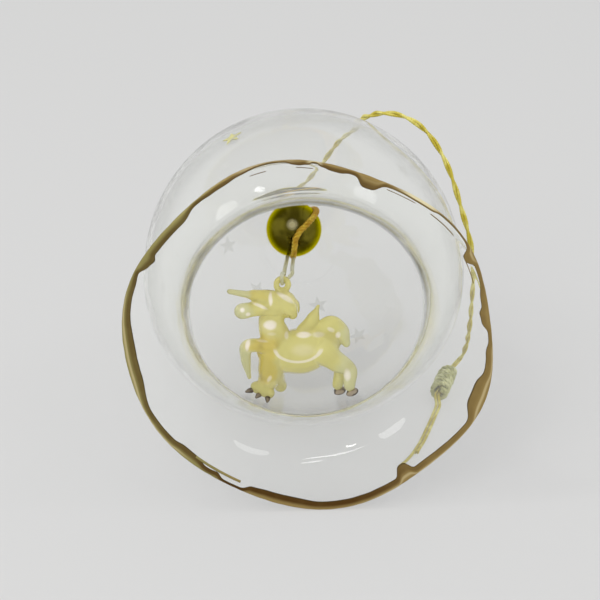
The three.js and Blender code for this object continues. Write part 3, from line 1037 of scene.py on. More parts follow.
@dataclass
class BellFrame:
    """The lying bell's own frame: heights run from the rim plane to the crown."""

    axis: Vector
    globe: Vector
    globe_height: float

    @classmethod
    def of(cls, joints: list[dict], globe_height: float, bead_above: float) -> BellFrame:
        """Reads the bell's axis from the joint of its bead.

        Args:
            joints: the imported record's joints.
            globe_height: the globe's centre above the rim plane, in metres.
            bead_above: the bead's centre above the globe's centre, in metres.

        Returns:
            The frame.
        """
        turn = next(joint for joint in joints if joint["name"] == "clapper_turn")
        axis = Vector(turn["axis"]).normalized()
        return cls(axis, Vector(turn["pos_m"]) - axis * bead_above, globe_height)

    @property
    def matrix(self) -> Matrix:
        """The turn from the upright bell to the lying one.

        Returns:
            The matrix, which makes the upright bell's +Y side the lowest.
        """
        across = Vector((1, 0, 0))
        down = self.axis.cross(across)
        turned = Matrix((across, down, self.axis)).transposed().to_4x4()
        turned.translation = self.globe - self.axis * self.globe_height
        return turned

    def lay_down(self, piece: bpy.types.Object) -> None:
        """Puts a piece that was made on the upright bell in its place."""
        piece.data.transform(self.matrix)
        piece.data.update()


@dataclass(frozen=True)
class Wave:
    """A wave round the lip: how many, how high in metres, and the angle of one crest in degrees."""

    count: int
    height: float
    crest: float

    def at(self, turn: float) -> float:
        """The wave's height at an angle in radians."""
        return self.height * math.cos(self.count * (turn - math.radians(self.crest)))


@dataclass(frozen=True)
class GildRun:
    """A run of gilding: its angle in degrees, reach in metres, spread in degrees and squareness."""

    angle: float
    reach: float
    spread: float
    square: float = 4.0

    def at(self, turn: float) -> float:
        """The run's reach at an angle in radians."""
        away = turn - math.radians(self.angle)
        away = abs(math.atan2(math.sin(away), math.cos(away)))
        return self.reach * math.exp(-((away / math.radians(self.spread)) ** self.square))


@dataclass(frozen=True)
class GildLine:
    """A thin line of gilding: its ends in degrees, its inset and radius in metres, and its tone."""

    first: float
    last: float
    inset: float
    radius: float
    tone: float = 0.1


def eased(first: float, last: float, part: float) -> float:
    """A value that eases from one to another as the part grows from 0 to 1."""
    held = min(max(part, 0.0), 1.0)
    return first + (last - first) * held * held * (3 - 2 * held)


@dataclass
class BellShell:
    """The glass shell with its gilded lip and its stars."""

    rim_radius: float = 35.1 * MM
    globe_radius: float = 32.7 * MM
    globe_height: float = 39 * MM
    waist_radius: float = 24.1 * MM
    waist_height: float = 16 * MM
    wall: float = 1.1 * MM
    waist_wall: float = 1.1 * MM
    lip_wall: float = 0.8 * MM
    hole_radius: float = 0.95 * MM
    gild_reach: float = 0.1 * MM
    gild_thickness: float = 0.1 * MM
    gild_ragged: float = 0.08 * MM
    gild_rounding: float = 0.2 * MM
    gild_gap: float = 0.02 * MM
    line_lift: float = 0.05 * MM
    line_step: float = 0.2 * MM
    star_points: int = 5
    star_radius: float = 2.2 * MM
    star_waist: float = 0.42
    star_thickness: float = 0.16 * MM
    star_bevel: float = 0.05 * MM
    star_gap: float = 0.03 * MM
    steps: int = 160
    globe_steps: int = 56
    flare_steps: int = 26
    fillet_steps: int = 12
    lip_steps: int = 12
    hole_steps: int = 8
    gild_steps: int = 540
    gild_across: int = 26
    line_points: int = 12
    line_sides: int = 8
    radial_waves: tuple[Wave, ...] = (
        Wave(1, 0.68 * MM, -81.5),
        Wave(2, 0.78 * MM, 53.2),
        Wave(3, 0.17 * MM, 58.6),
        Wave(4, 0.27 * MM, -11.1),
        Wave(5, 0.23 * MM, 30.4),
        Wave(6, 0.52 * MM, 21.3),
    )
    axial_waves: tuple[Wave, ...] = (Wave(3, 0.35 * MM, 55), Wave(7, 0.25 * MM, -12))
    gild_runs: tuple[GildRun, ...] = (
        GildRun(95, 0.95 * MM, 68, 6),
        GildRun(-164, 0.6 * MM, 8),
        GildRun(-151, 1.15 * MM, 3),
        GildRun(-140, 0.95 * MM, 10.5, 6),
        GildRun(-118, 0.25 * MM, 5),
        GildRun(-101, -0.4 * MM, 7),
        GildRun(-94, 0.3 * MM, 2),
        GildRun(-88.5, -0.45 * MM, 1.4),
        GildRun(-82, 0.45 * MM, 3.2),
        GildRun(-70.8, 2.0 * MM, 3.6),
        GildRun(-61, -0.15 * MM, 4.5),
        GildRun(-41, -0.48 * MM, 7.5, 8),
        GildRun(-30, 1.35 * MM, 2.3),
        GildRun(-14, 0.6 * MM, 4.5),
        GildRun(-8, 1.1 * MM, 3.4),
        GildRun(6, 0.7 * MM, 5),
        GildRun(19, 2.1 * MM, 7.6),
        GildRun(56.3, 1.9 * MM, 2.6),
        GildRun(100, 0.45 * MM, 10),
        GildRun(117.5, -1.05 * MM, 5.5, 6),
        GildRun(127, -0.4 * MM, 3),
        GildRun(136, 0.5 * MM, 5),
        GildRun(175, 1.5 * MM, 14),
    )
    gild_lines: tuple[GildLine, ...] = (
        GildLine(-108, -103, 0.9 * MM, 0.07 * MM),
        GildLine(-94, -89, 0.7 * MM, 0.07 * MM),
        GildLine(-65, -55, 0.45 * MM, 0.07 * MM),
        GildLine(-49, -39, 0.65 * MM, 0.09 * MM),
        GildLine(-30, -21, 1.35 * MM, 0.08 * MM),
        GildLine(115, 133, 1.15 * MM, 0.27 * MM, 0.75),
    )
    worn_places: tuple[GildRun, ...] = (
        GildRun(-54, 1.0, 7),
        GildRun(-88.5, 0.8, 2),
        GildRun(-103, 0.4, 8),
    )
    star_places: tuple[Pair, ...] = (
        (-116, 96),
        (-108, 59),
        (-34, 57),
        (-17, 69),
        (159, 31),
        (120, 35),
        (162, 69),
        (62, 56),
        (78, 38),
    )

    def __post_init__(self) -> None:
        """Works out the arcs that join the globe, the waist and the lip."""
        rise = self.globe_height - self.waist_height
        gain = self.waist_radius**2 + rise**2 - self.globe_radius**2
        self.fillet_radius = gain / (2 * (self.globe_radius - self.waist_radius))
        self.fillet_angle = math.atan2(rise, self.waist_radius + self.fillet_radius)
        reach = self.rim_radius - self.waist_radius
        self.flare_radius = (reach**2 + self.waist_height**2) / (2 * reach)
        self.lip_angle = math.atan2(self.waist_height, self.flare_radius - reach)

    @property
    def inside(self) -> float:
        """The globe's inner radius, in metres."""
        return self.globe_radius - self.wall

    @staticmethod
    def arc(first: float, last: float, count: int, curve: Curve) -> list[Pair]:
        """Samples a curve at even steps.

        Args:
            first: where it starts.
            last: where it ends.
            count: how many steps.
            curve: gives radius and height.

        Returns:
            The points, both ends among them.
        """
        return [curve(first + (last - first) * i / count) for i in range(count + 1)]

    def globe_curve(self, radius: float) -> Curve:
        """The globe's arc, by the angle from the crown."""
        return lambda angle: (radius * math.sin(angle), self.globe_height + radius * math.cos(angle))

    def fillet_curve(self, share: float) -> Curve:
        """The arc from the waist up to the globe, at a share of the wall from its outer face."""
        return self._waist_arc(1, self.fillet_radius, self.fillet_angle, self.wall, share)

    def flare_curve(self, share: float, lift: float = 0.0) -> Curve:
        """The arc from the waist down to the lip, at a share of the wall and a lift off it in metres."""
        return self._waist_arc(-1, self.flare_radius, self.lip_angle, self.lip_wall, share, lift)

    def _waist_arc(
        self,
        side: int,
        bend: float,
        last: float,
        end_wall: float,
        share: float,
        lift: float = 0.0,
    ) -> Curve:
        """Draws an arc that leaves the waist.

        Args:
            side: 1 for up to the globe, -1 for down to the lip.
            bend: the outer face's radius of curvature, in metres.
            last: the angle where it ends.
            end_wall: the wall's thickness there, in metres.
            share: the part of the wall between it and the outer face.
            lift: its distance off the glass, in metres.

        Returns:
            Radius and height, by the angle from the waist.
        """
        middle = self.waist_radius + bend

        def point(angle: float) -> Pair:
            """Radius and height at an angle."""
            radius = bend + eased(self.waist_wall, end_wall, angle / last) * share + lift
            return middle - radius * math.cos(angle), self.waist_height + side * radius * math.sin(angle)

        return point

    def lip_curve(self, lift: float = 0.0) -> Curve:
        """Draws the rounded end of the lip.

        Args:
            lift: its distance off the glass, in metres.

        Returns:
            The arc, by the angle from the inner face.
        """
        middle_r, middle_h = self.flare_curve(0.5)(self.lip_angle)
        reach = self.lip_wall / 2 + lift
        sine, cosine = math.sin(self.lip_angle), math.cos(self.lip_angle)

        def point(turn: float) -> Pair:
            """Radius and height at an angle."""
            inward, onward = reach * math.cos(turn), reach * math.sin(turn)
            return middle_r - inward * cosine + onward * sine, middle_h - inward * sine - onward * cosine

        return point

    def fluted(self, place: Vector) -> Vector:
        """Moves a point of the plain flare onto the fluted one.

        Args:
            place: a point on the upright bell.

        Returns:
            Its place with the lip's waves.
        """
        if place.z >= self.waist_height:
            return place
        radius, turn = math.hypot(place.x, place.y), math.atan2(place.y, place.x)
        angle = math.atan2(self.waist_height - place.z, self.waist_radius + self.flare_radius - radius)
        weight = min(angle / self.lip_angle, 1.0) ** 2
        radius += weight * sum(wave.at(turn) for wave in self.radial_waves)
        height = place.z + weight * sum(wave.at(turn) for wave in self.axial_waves)
        return Vector((radius * math.cos(turn), radius * math.sin(turn), height))

    def build_glass(self, frame: BellFrame, finish: bpy.types.Material) -> None:
        """Makes the glass shell.

        Args:
            frame: the lying bell's frame.
            finish: its material.
        """
        shoulder = math.pi / 2 + self.fillet_angle
        edge = self.hole_radius + self.wall / 2
        outer_edge = math.asin(edge / self.globe_radius)
        inner_edge = math.asin(edge / self.inside)
        middle = self.globe_height + (self.globe_radius + self.inside) / 2
        half_wall = self.wall / 2
        outline = [
            *self.arc(outer_edge, shoulder, self.globe_steps, self.globe_curve(self.globe_radius)),
            *self.arc(self.fillet_angle, 0, self.fillet_steps, self.fillet_curve(0.0))[1:],
            *self.arc(0, self.lip_angle, self.flare_steps, self.flare_curve(0.0))[1:],
            *self.arc(math.pi, 0, self.lip_steps, self.lip_curve())[1:-1],
            *self.arc(self.lip_angle, 0, self.flare_steps, self.flare_curve(1.0)),
            *self.arc(0, self.fillet_angle, self.fillet_steps, self.fillet_curve(1.0))[1:],
            *self.arc(shoulder, inner_edge, self.globe_steps, self.globe_curve(self.inside))[1:],
            *self.arc(-math.pi / 2, math.pi / 2, self.hole_steps, lambda turn: (
                edge - half_wall * math.cos(turn),
                middle + half_wall * math.sin(turn),
            ))[1:-1],
        ]
        piece = Bench.spun("glass_shell", outline, self.steps)
        Bench.moved(piece, self.fluted)
        frame.lay_down(piece)
        Bench.smooth(piece)
        Bench.dress(piece, finish, Body.BELL, Slot.GLASS, "glass_bell")

    def build_gilding(self, frame: BellFrame, finish: bpy.types.Material) -> None:
        """Makes the gilding of the lip.

        Args:
            frame: the lying bell's frame.
            finish: its material.
        """
        under = [(1 + i / self.gild_across, 0.0) for i in range(self.gild_across + 1)]
        over = [(share, 1.0) for share, _ in reversed(under)]
        band = Bench.spun("lip_gilding", [*under, *over], self.gild_steps)
        plans = [corner.co.copy() for corner in band.data.vertices]
        Bench.carry(band, "across", [math.hypot(plan.x, plan.y) - 1 for plan in plans])
        Bench.carry(band, "worn", [
            sum(place.at(math.atan2(plan.y, plan.x)) for place in self.worn_places) for plan in plans
        ])
        Bench.moved(band, self._gild_place)
        lines = []
        for mark in self.gild_lines:
            shares = [i / self.line_points for i in range(self.line_points + 1)]
            turns = [math.radians(mark.first + (mark.last - mark.first) * share) for share in shares]
            places = [self.lip_place(turn, -mark.inset, self.line_lift) for turn in turns]
            route = Route.through(places, self.line_step)
            line = Bench.from_faces("gilt_line", *route.tube(mark.radius, self.line_sides))
            Bench.carry(line, "across", [mark.tone] * len(line.data.vertices))
            lines.append(line)
        Bench.pick(band, *lines)
        bpy.ops.object.join()
        piece = bpy.context.object
        Bench.outward(piece)
        frame.lay_down(piece)
        Bench.smooth(piece)
        Bench.dress(piece, finish, Body.BELL, Slot.LIP_GILT, "rim_gilding")

    def _gild_place(self, plan: Vector) -> Vector:
        """Lays a corner of the gilding on the lip.

        Args:
            plan: the angle round the axis, the share across the band (radius less 1), the layer (height).

        Returns:
            Its place on the upright bell.
        """
        turn = math.atan2(plan.y, plan.x)
        share = min(max(math.hypot(plan.x, plan.y) - 1, 0.0), 1.0)
        ragged = self._uneven(turn, scale=14, layer=3)
        reach = self.gild_reach + sum(run.at(turn) for run in self.gild_runs) + self.gild_ragged * ragged
        width = reach + math.pi * self.lip_wall / 2
        lump = self._uneven(turn, scale=22, layer=4 * share)
        rounding = min(1.0, min(share, 1 - share) * width / self.gild_rounding) ** 0.5
        thickness = self.gild_thickness * rounding * (0.85 + 0.5 * lump)
        return self.lip_place(turn, share * width - reach, self.gild_gap + plan.z * thickness)

    @staticmethod
    def _uneven(turn: float, scale: float, layer: float) -> float:
        """A noise round the lip that closes on itself."""
        return noise.noise(Vector((scale * math.cos(turn), scale * math.sin(turn), layer)))

    def lip_place(self, turn: float, along: float, lift: float) -> Vector:
        """Finds a place on the lip.

        Args:
            turn: the angle round the axis.
            along: the way from its inner edge over its rounded end, in metres; below 0 on the inner face.
            lift: its distance off the glass, in metres.

        Returns:
            The place on the upright bell.
        """
        if along < 0:
            radius, height = self.flare_curve(1.0, lift)(self.lip_angle + along / self.flare_radius)
        else:
            radius, height = self.lip_curve(lift)(2 * along / self.lip_wall)
        return self.fluted(Vector((radius * math.cos(turn), radius * math.sin(turn), height)))

    def build_stars(
        self,
        frame: BellFrame,
        finishes: tuple[bpy.types.Material, bpy.types.Material],
    ) -> None:
        """Makes one star and sets its copies on the globe.

        Args:
            frame: the lying bell's frame.
            finishes: the first star's material, and that of the others, which are more worn.
        """
        Bench.clear()
        bpy.ops.mesh.primitive_circle_add(
            vertices=2 * self.star_points,
            radius=self.star_radius,
            fill_type="NGON",
        )
        master = bpy.context.object
        bpy.ops.object.mode_set(mode="EDIT")
        bpy.ops.mesh.select_all(action="DESELECT")
        bpy.ops.object.mode_set(mode="OBJECT")
        for corner in master.data.vertices:
            corner.select = corner.index % 2 == 1
        bpy.ops.object.mode_set(mode="EDIT")
        bpy.ops.transform.resize(value=(self.star_waist, self.star_waist, 1), center_override=(0, 0, 0))
        bpy.ops.mesh.select_all(action="SELECT")
        bpy.ops.mesh.poke()
        bpy.ops.mesh.subdivide(number_cuts=3)
        bpy.ops.object.mode_set(mode="OBJECT")
        Bench.modify(master, "SOLIDIFY", thickness=self.star_thickness, offset=1.0)
        Bench.modify(master, "BEVEL", width=self.star_bevel, segments=2, limit_method="ANGLE")
        for number, (turn, from_crown) in enumerate(self.star_places, start=1):
            star = bpy.data.objects.new(f"gilt_star_{number}", master.data.copy())
            bpy.context.collection.objects.link(star)
            Bench.moved(star, self._on_globe(math.radians(turn), math.radians(from_crown)))
            frame.lay_down(star)
            Bench.dress(star, finishes[min(number - 1, 1)], Body.BELL, Slot.STAR_GILT, f"star_{number}")
        bpy.data.objects.remove(master)

    def _on_globe(self, turn: float, from_crown: float) -> Callable[[Vector], Vector]:
        """Bends a flat piece onto the globe.

        Args:
            turn: the angle round the axis.
            from_crown: the angle from the crown.

        Returns:
            What gives a corner's place on the upright bell.
        """
        out = Vector((
            math.sin(from_crown) * math.cos(turn),
            math.sin(from_crown) * math.sin(turn),
            math.cos(from_crown),
        ))
        east = Vector((-math.sin(turn), math.cos(turn), 0))
        north = out.cross(east)
        middle = Vector((0, 0, self.globe_height))

        def place(flat: Vector) -> Vector:
            """A corner's place."""
            reach = self.globe_radius + self.star_gap + flat.z
            return middle + reach * (out * reach + east * flat.x + north * flat.y).normalized()

        return place


@dataclass
class Clapper:
    """The bead in the crown and the strands that hold the animal."""

    bead_radius: float = 6 * MM
    bead_rounding: float = 0.12 * MM
    bead_arcs: int = 60
    bead_steps: int = 72
    bead_sharpness: float = 50.0
    bore_radius: float = 0.75 * MM
    bore_inset: float = 0.1 * MM
    strand: float = 0.7 * MM
    clearance: float = 0.3 * MM
    lashing_course: tuple[Place, ...] = (
        (0.0, 0.997, -0.075),
        (0.52, 0.79, 0.32),
        (0.77, 0.08, 0.63),
        (0.17, -0.92, 0.35),
        (0.02, -0.99, 0.1),
        (-0.05, -0.72, -0.69),
    )
    lashing_end: Place = (-0.07, -0.6, -0.8)
    lashing_lift: float = 0.36 * MM
    lashing_depth: float = 0.9 * MM
    sag: Place = (-1.2 * MM, 0, -1.0 * MM)
    leaving: Place = (-0.13, -0.42, -0.9)
    leaving_depth: float = 0.3 * MM
    left_run: tuple[Pair, ...] = ((0, -0.65), (0.3, -0.42), (0.6, -0.2), (0.85, 0.05))
    right_run: tuple[Pair, ...] = ((0, 0.65), (0.3, 1.0), (0.6, 1.35), (0.85, 1.65))
    ring_radius: float = 1.25 * MM
    ring_wire: float = 0.65 * MM
    ring_tilt: float = 63.0
    ring_gap: float = 0.05 * MM
    bend_start: float = 10 * MM
    bend_end: float = 2.5 * MM

    def above_globe(self, inside: float) -> float:
        """How far the bead's centre is above the globe's centre, in metres."""
        return inside - (self.strand + 2 * self.clearance) - self.bead_radius

    def build_bead(self, frame: BellFrame, height: float, finish: bpy.types.Material) -> None:
        """Makes the bored bead.

        Args:
            frame: the lying bell's frame.
            height: its centre above the rim plane, in metres.
            finish: its material.
        """
        start = math.asin((self.bore_radius + self.bead_rounding) / self.bead_radius)
        mouth = self.bead_radius * math.cos(start) - self.bead_rounding
        ball = BellShell.arc(start, math.pi - start, self.bead_arcs, lambda angle: (
            self.bead_radius * math.sin(angle),
            height + self.bead_radius * math.cos(angle),
        ))
        bore = [(self.bore_radius, height + mouth * share) for share in (-1, -0.5, 0, 0.5, 1)]
        piece = Bench.spun("mirror_bead", [*ball, *bore], self.bead_steps)
        frame.lay_down(piece)
        piece.data.transform(Matrix.Translation(self.sag))
        Bench.pick(piece)
        bpy.ops.object.shade_smooth_by_angle(angle=math.radians(self.bead_sharpness))
        Bench.dress(piece, finish, Body.BEAD, Slot.BEAD, "stopper_bead")

    def build_ties(
        self,
        frame: BellFrame,
        height: float,
        finish: bpy.types.Material,
        tied: bpy.types.Material,
    ) -> None:
        """Makes the strand through the bead and the one over it.

        Args:
            frame: the lying bell's frame.
            height: the bead's centre above the rim plane, in metres.
            finish: the material of the strand through it.
            tied: the material of the strand over it, the cord's colours deepened as painted shade.
        """
        middle = frame.matrix @ Vector((0, 0, height)) + Vector(self.sag)
        run = frame.axis * (self.bead_radius - self.bore_inset)
        bored = THREAD.make("bore_thread", Route.through([middle - run, middle, middle + run], CORD_STEP))
        Bench.dress(bored, finish, Body.BEAD, Slot.CORD, "bore_strand")
        reach = self.bead_radius + self.lashing_lift
        places = []
        for first, last in zip(self.lashing_course, self.lashing_course[1:]):
            for part in (0.0, 0.25, 0.5, 0.75):
                places.append(middle + reach * Vector(first).lerp(Vector(last), part).normalized())
        places.append(middle + reach * Vector(self.lashing_course[-1]).normalized())
        depth = self.bead_radius - self.lashing_depth
        places.append(middle + depth * Vector(self.lashing_end).normalized())
        lashing = LASHING.make("bead_lashing_thread", Route.through(places, CORD_STEP))
        Bench.dress(lashing, tied, Body.BEAD, Slot.CORD, "bead_lashing")

    def build_loop(self, bead: Vector, ring: Vector, finish: bpy.types.Material) -> None:
        """Makes the doubled strand from the bead to the animal's ring.

        Args:
            bead: the bead's centre on the bell's axis.
            ring: the middle of the animal's ring.
            finish: its material, the cord's colours made paler as painted light.
        """
        leaving = Vector(self.leaving).normalized()
        start = bead + Vector(self.sag) + leaving * (self.bead_radius - self.leaving_depth)
        tilt = math.radians(self.ring_tilt)
        wire = ring + self.ring_radius * Vector((0, math.cos(tilt), math.sin(tilt)))
        upward = (start - wire).normalized()
        across = Vector((1, 0, 0))
        over = across.cross(upward).normalized()
        turn_radius = self.ring_wire + self.ring_gap + self.strand / 2
        down = wire - start
        places = [start + down * part + across * aside * MM for part, aside in self.left_run]
        for degrees in range(0, 181, 30):
            angle = math.radians(degrees)
            aside = over * math.cos(angle) - upward * math.sin(angle)
            places.append(wire + aside * turn_radius)
        places += [start + down * part + across * aside * MM for part, aside in reversed(self.right_run)]
        route = Route.through(places, CORD_STEP)
        loop = LOOP.make("clapper_thread", route)
        Bench.dress(loop, finish, None, Slot.CORD, "clapper_loop")
        bend = (wire + upward * self.bend_start, wire + upward * self.bend_end)
        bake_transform(loop)
        route.length


@dataclass(frozen=True)
class Limb:
    """A swelling length of glass: stations across, up and away with a radius, in millimetres."""

    SAMPLES = 8
    ROUND_END = ((0.5, 0.87), (0.87, 0.5), (0.98, 0.2))

    stations: tuple[Station, ...]
    thickness: float = 1.0

    def make(self, name: str, origin: Vector) -> bpy.types.Object:
        """Draws the limb as a curve with a changing radius and makes it a mesh.

        Args:
            name: the piece's name.
            origin: the point that the stations are measured from.

        Returns:
            The closed mesh.
        """
        places = [origin + Vector((u, w, v)) * MM for u, v, w, _ in self.stations]
        sizes = [station[3] * MM for station in self.stations]
        pads = [2 * places[0] - places[1], *places, 2 * places[-1] - places[-2]]
        line: list[Ball] = []
        for i, (size, next_size) in enumerate(zip(sizes, sizes[1:])):
            for part in (k / self.SAMPLES for k in range(self.SAMPLES)):
                line.append((Route.between(pads[i : i + 4], part), eased(size, next_size, part)))
        line.append((places[-1], sizes[-1]))
        head = self._round_end(line[0], line[1])
        tail = self._round_end(line[-1], line[-2])
        return self._mesh(name, [*reversed(head), *line, *tail])

    def _round_end(self, end: Ball, before: Ball) -> list[Ball]:
        """Rounds off an end of the limb.

        Args:
            end: the last place of the line, with its radius.
            before: the place before it, with its radius.

        Returns:
            The places and radii beyond the end.
        """
        place, size = end
        onward = (place - before[0]).normalized()
        return [(place + onward * size * slide, size * shrink) for slide, shrink in self.ROUND_END]

    def _mesh(self, name: str, line: list[Ball]) -> bpy.types.Object:
        """Turns a line into a mesh.

        Args:
            name: the piece's name.
            line: the places along the line, with their radii.

        Returns:
            The closed mesh.
        """
        curve = bpy.data.curves.new(name, "CURVE")
        curve.dimensions = "3D"
        curve.bevel_depth = MM
        curve.bevel_resolution = 6
        curve.use_fill_caps = True
        spline = curve.splines.new("POLY")
        spline.points.add(len(line) - 1)
        for point, (place, size) in zip(spline.points, line):
            point.co = (*place, 1)
            point.radius = size / MM
        piece = bpy.data.objects.new(name, curve)
        bpy.context.collection.objects.link(piece)
        Bench.pick(piece)
        bpy.ops.object.convert(target="MESH")
        piece = bpy.context.object
        middle = sum(place.y for place, _ in line) / len(line)
        Bench.moved(piece, lambda co: Vector((co.x, middle + (co.y - middle) * self.thickness, co.z)))
        Bench.outward(piece)
        return piece


@dataclass
class Animal:
    """The lampworked animal that is the clapper, measured from the middle of its ring."""

    ring: Vector
    globe: Vector
    inside: float
    foot_gap: float = 0.25 * MM
    voxel: float = 0.2 * MM
    smoothing: int = 10
    limbs: tuple[tuple[str, Limb], ...] = (
        ("body", Limb((
            (-2.4, -15.6, 0, 3.2),
            (0.6, -16.0, 0.4, 4.8),
            (4.0, -16.1, 0.8, 5.2),
            (7.4, -15.0, 1.0, 4.6),
            (9.0, -14.3, 1.0, 3.4),
        ), 0.8)),
        ("neck", Limb((
            (-1.2, -5.6, 0, 2.4),
            (-2.3, -8.4, 0, 2.8),
            (-1.6, -11.8, 0.2, 3.2),
            (-0.4, -14.4, 0.4, 3.5),
        ), 0.75)),
        ("head", Limb(((-1.7, -4.7, -0.2, 2.6), (0.2, -4.5, 0, 3.0), (1.3, -5.3, 0.1, 2.5)), 0.85)),
        ("crest", Limb(((0.2, -2.2, 0, 1.5), (0.0, -3.8, 0, 2.3)))),
        ("fin", Limb(((5.0, -11.4, 0.6, 2.2), (6.3, -8.6, 0.6, 1.5), (7.5, -5.4, 0.6, 0.45)), 0.5)),
        ("ear_flap", Limb(((0.2, -3.3, -1.4, 1.3), (1.5, -4.7, -1.7, 1.6), (2.1, -6.3, -1.4, 1.1)))),
        ("muzzle", Limb((
            (-1.6, -5.0, -0.3, 2.2),
            (-4.3, -5.0, -0.7, 1.7),
            (-6.4, -5.2, -1.0, 1.6),
            (-8.4, -5.5, -1.2, 1.75),
        ))),
        ("horn", Limb((
            (-1.6, -3.4, -0.2, 2.0),
            (-3.4, -2.9, -0.3, 1.8),
            (-5.6, -2.3, -0.35, 1.3),
            (-7.8, -1.9, -0.4, 0.75),
            (-11.0, -1.2, -0.5, 0.6),
        ))),
        ("raised_leg", Limb((
            (-2.4, -14.4, -0.9, 1.9),
            (-5.2, -13.3, -1.7, 1.5),
            (-7.5, -13.5, -2.0, 1.5),
            (-7.8, -16.4, -1.9, 1.1),
            (-7.1, -21.0, -1.6, 0.5),
        ))),
        ("tail", Limb((
            (8.0, -11.4, 0.9, 2.0),
            (10.3, -9.8, 1.1, 1.7),
            (12.5, -11.5, 1.2, 1.5),
            (13.5, -14.6, 1.1, 0.95),
        ))),
    )
    heel: Place = (-0.7, 2.4, 1.5)
    toes: tuple[Place, ...] = ((-6.05, -0.15, 1.35), (-4.7, -0.8, 1.55), (-3.35, -1.45, 1.35))
    shin: Station = (-2.6, -19.4, -0.3, 2.7)
    claw_headings: tuple[float, ...] = (-141, -117, -92)
    claw_taper: tuple[Pair, ...] = ((1.1, 0.6), (1.7, 0.52), (2.3, 0.3))
    near_hind_foot: Pair = (14.9, -2.1)
    near_hind_size: float = 1.3
    far_hind_foot: Pair = (12.3, 0.2)
    far_hind_size: float = 1.25
    hoof_radius: float = 1.35 * MM
    hoof_height: float = 1.5 * MM
    hoof_overlap: float = 0.5
    hoof_taper: float = 0.16
    cleft_depth: float = 0.22
    cleft_width: float = 0.3 * MM

    def standing(self, across: float, away: float, size: float, lift: float = 0.0) -> Station:
        """Finds the station whose ball stands on the globe's floor.

        Args:
            across: its place across, in millimetres from the ring.
            away: its place away from the mouth, in millimetres from the ring.
            size: its radius, in millimetres.
            lift: how far it is above the floor, in millimetres.

        Returns:
            The station.
        """
        reach = (self.inside - self.foot_gap) / MM
        rel = (self.ring - self.globe) / MM
        x, y = rel.x + across, rel.y + away
        down = Vector((x, y, -math.sqrt(reach**2 - x**2 - y**2))).normalized() * (reach - size - lift)
        return (down.x - rel.x, down.z - rel.z, down.y - rel.y, size)

    def _standing_limbs(self) -> list[tuple[str, Limb]]:
        """Draws the legs that reach the floor.

        Returns:
            The name and form of each.
        """
        lift = self.hoof_height / MM - self.hoof_overlap
        near = self.standing(*self.near_hind_foot, self.near_hind_size, lift)
        far = self.standing(*self.far_hind_foot, self.far_hind_size, lift)
        toes = tuple(self.standing(*toe) for toe in self.toes)
        return [
            ("toes", Limb(toes)),
            ("heel", Limb((self.shin, self.standing(*self.heel)))),
            ("standing_leg", Limb((
                (-2.2, -15.8, -0.4, 2.8),
                self.shin,
                (-3.1, -22.4, 0, 2.3),
                toes[1],
            ))),
            ("near_hind_leg", Limb((
                (8.4, -15.4, -0.4, 3.3),
                (11.2, -17.8, -0.9, 2.3),
                (14.0, -19.6, -1.4, 1.7),
                near,
            ))),
            ("far_hind_leg", Limb((
                (7.8, -15.4, 2.2, 2.6),
                (10.2, -18.3, 2.2, 1.9),
                (12.2, -20.2, 1.2, 1.5),
                far,
            ))),
        ]

    def build_body(self, clapper: Clapper, finish: bpy.types.Material) -> None:
        """Runs the limbs and the ring together into one piece of glass.

        Args:
            clapper: gives the ring's size and tilt.
            finish: the material.
        """
        pieces = [limb.make(name, self.ring) for name, limb in [*self.limbs, *self._standing_limbs()]]
        Bench.clear()
        bpy.ops.mesh.primitive_torus_add(
            location=self.ring,
            rotation=(math.radians(clapper.ring_tilt), 0, 0),
            major_radius=clapper.ring_radius,
            minor_radius=clapper.ring_wire,
            major_segments=48,
            minor_segments=20,
        )
        pieces.append(bpy.context.object)
        Bench.pick(*pieces)
        bpy.ops.object.join()
        animal = bpy.context.object
        animal.name = "lampwork_animal"
        Bench.pick(animal)
        bpy.ops.object.transform_apply(location=True, rotation=True, scale=True)
        Bench.modify(animal, "REMESH", mode="VOXEL", voxel_size=self.voxel, adaptivity=0.0)
        Bench.modify(animal, "SMOOTH", factor=0.5, iterations=self.smoothing)
        Bench.smooth(animal)
        Bench.dress(animal, finish, Body.FIGURE, Slot.ANIMAL, "glass_animal")

    def build_claws(self, finish: bpy.types.Material) -> None:
        """Makes the claws in front of the paw.

        Args:
            finish: their material.
        """
        for number, (toe, degrees) in enumerate(zip(self.toes, self.claw_headings), start=1):
            heading = math.radians(degrees)
            stations = []
            for distance, size in self.claw_taper:
                across = toe[0] + distance * math.cos(heading)
                away = toe[1] + distance * math.sin(heading)
                stations.append(self.standing(across, away, size))
            claw = Limb(tuple(stations)).make(f"claw_{number}", self.ring)
            Bench.smooth(claw)
            Bench.dress(claw, finish, Body.FIGURE, Slot.DARK, f"fore_claw_{number}")

    def build_hooves(self, finish: bpy.types.Material) -> None:
        """Makes the hooves of the hind legs.

        Args:
            finish: their material.
        """
        for name, foot in (("near_hind_hoof", self.near_hind_foot), ("far_hind_hoof", self.far_hind_foot)):
            u, v, w, _ = self.standing(*foot, self.hoof_height / MM / 2)
            middle = self.ring + Vector((u, w, v)) * MM
            up = (self.globe - middle).normalized()
            Bench.clear()
            bpy.ops.mesh.primitive_uv_sphere_add(segments=32, ring_count=20, radius=self.hoof_radius)
            hoof = bpy.context.object
            hoof.name = f"{name}_glass"
            Bench.moved(hoof, self._hoof_place)
            turned = up.to_track_quat("Z", "Y").to_matrix().to_4x4()
            hoof.data.transform(Matrix.Translation(middle) @ turned)
            Bench.smooth(hoof)
            Bench.dress(hoof, finish, Body.FIGURE, Slot.DARK, name)

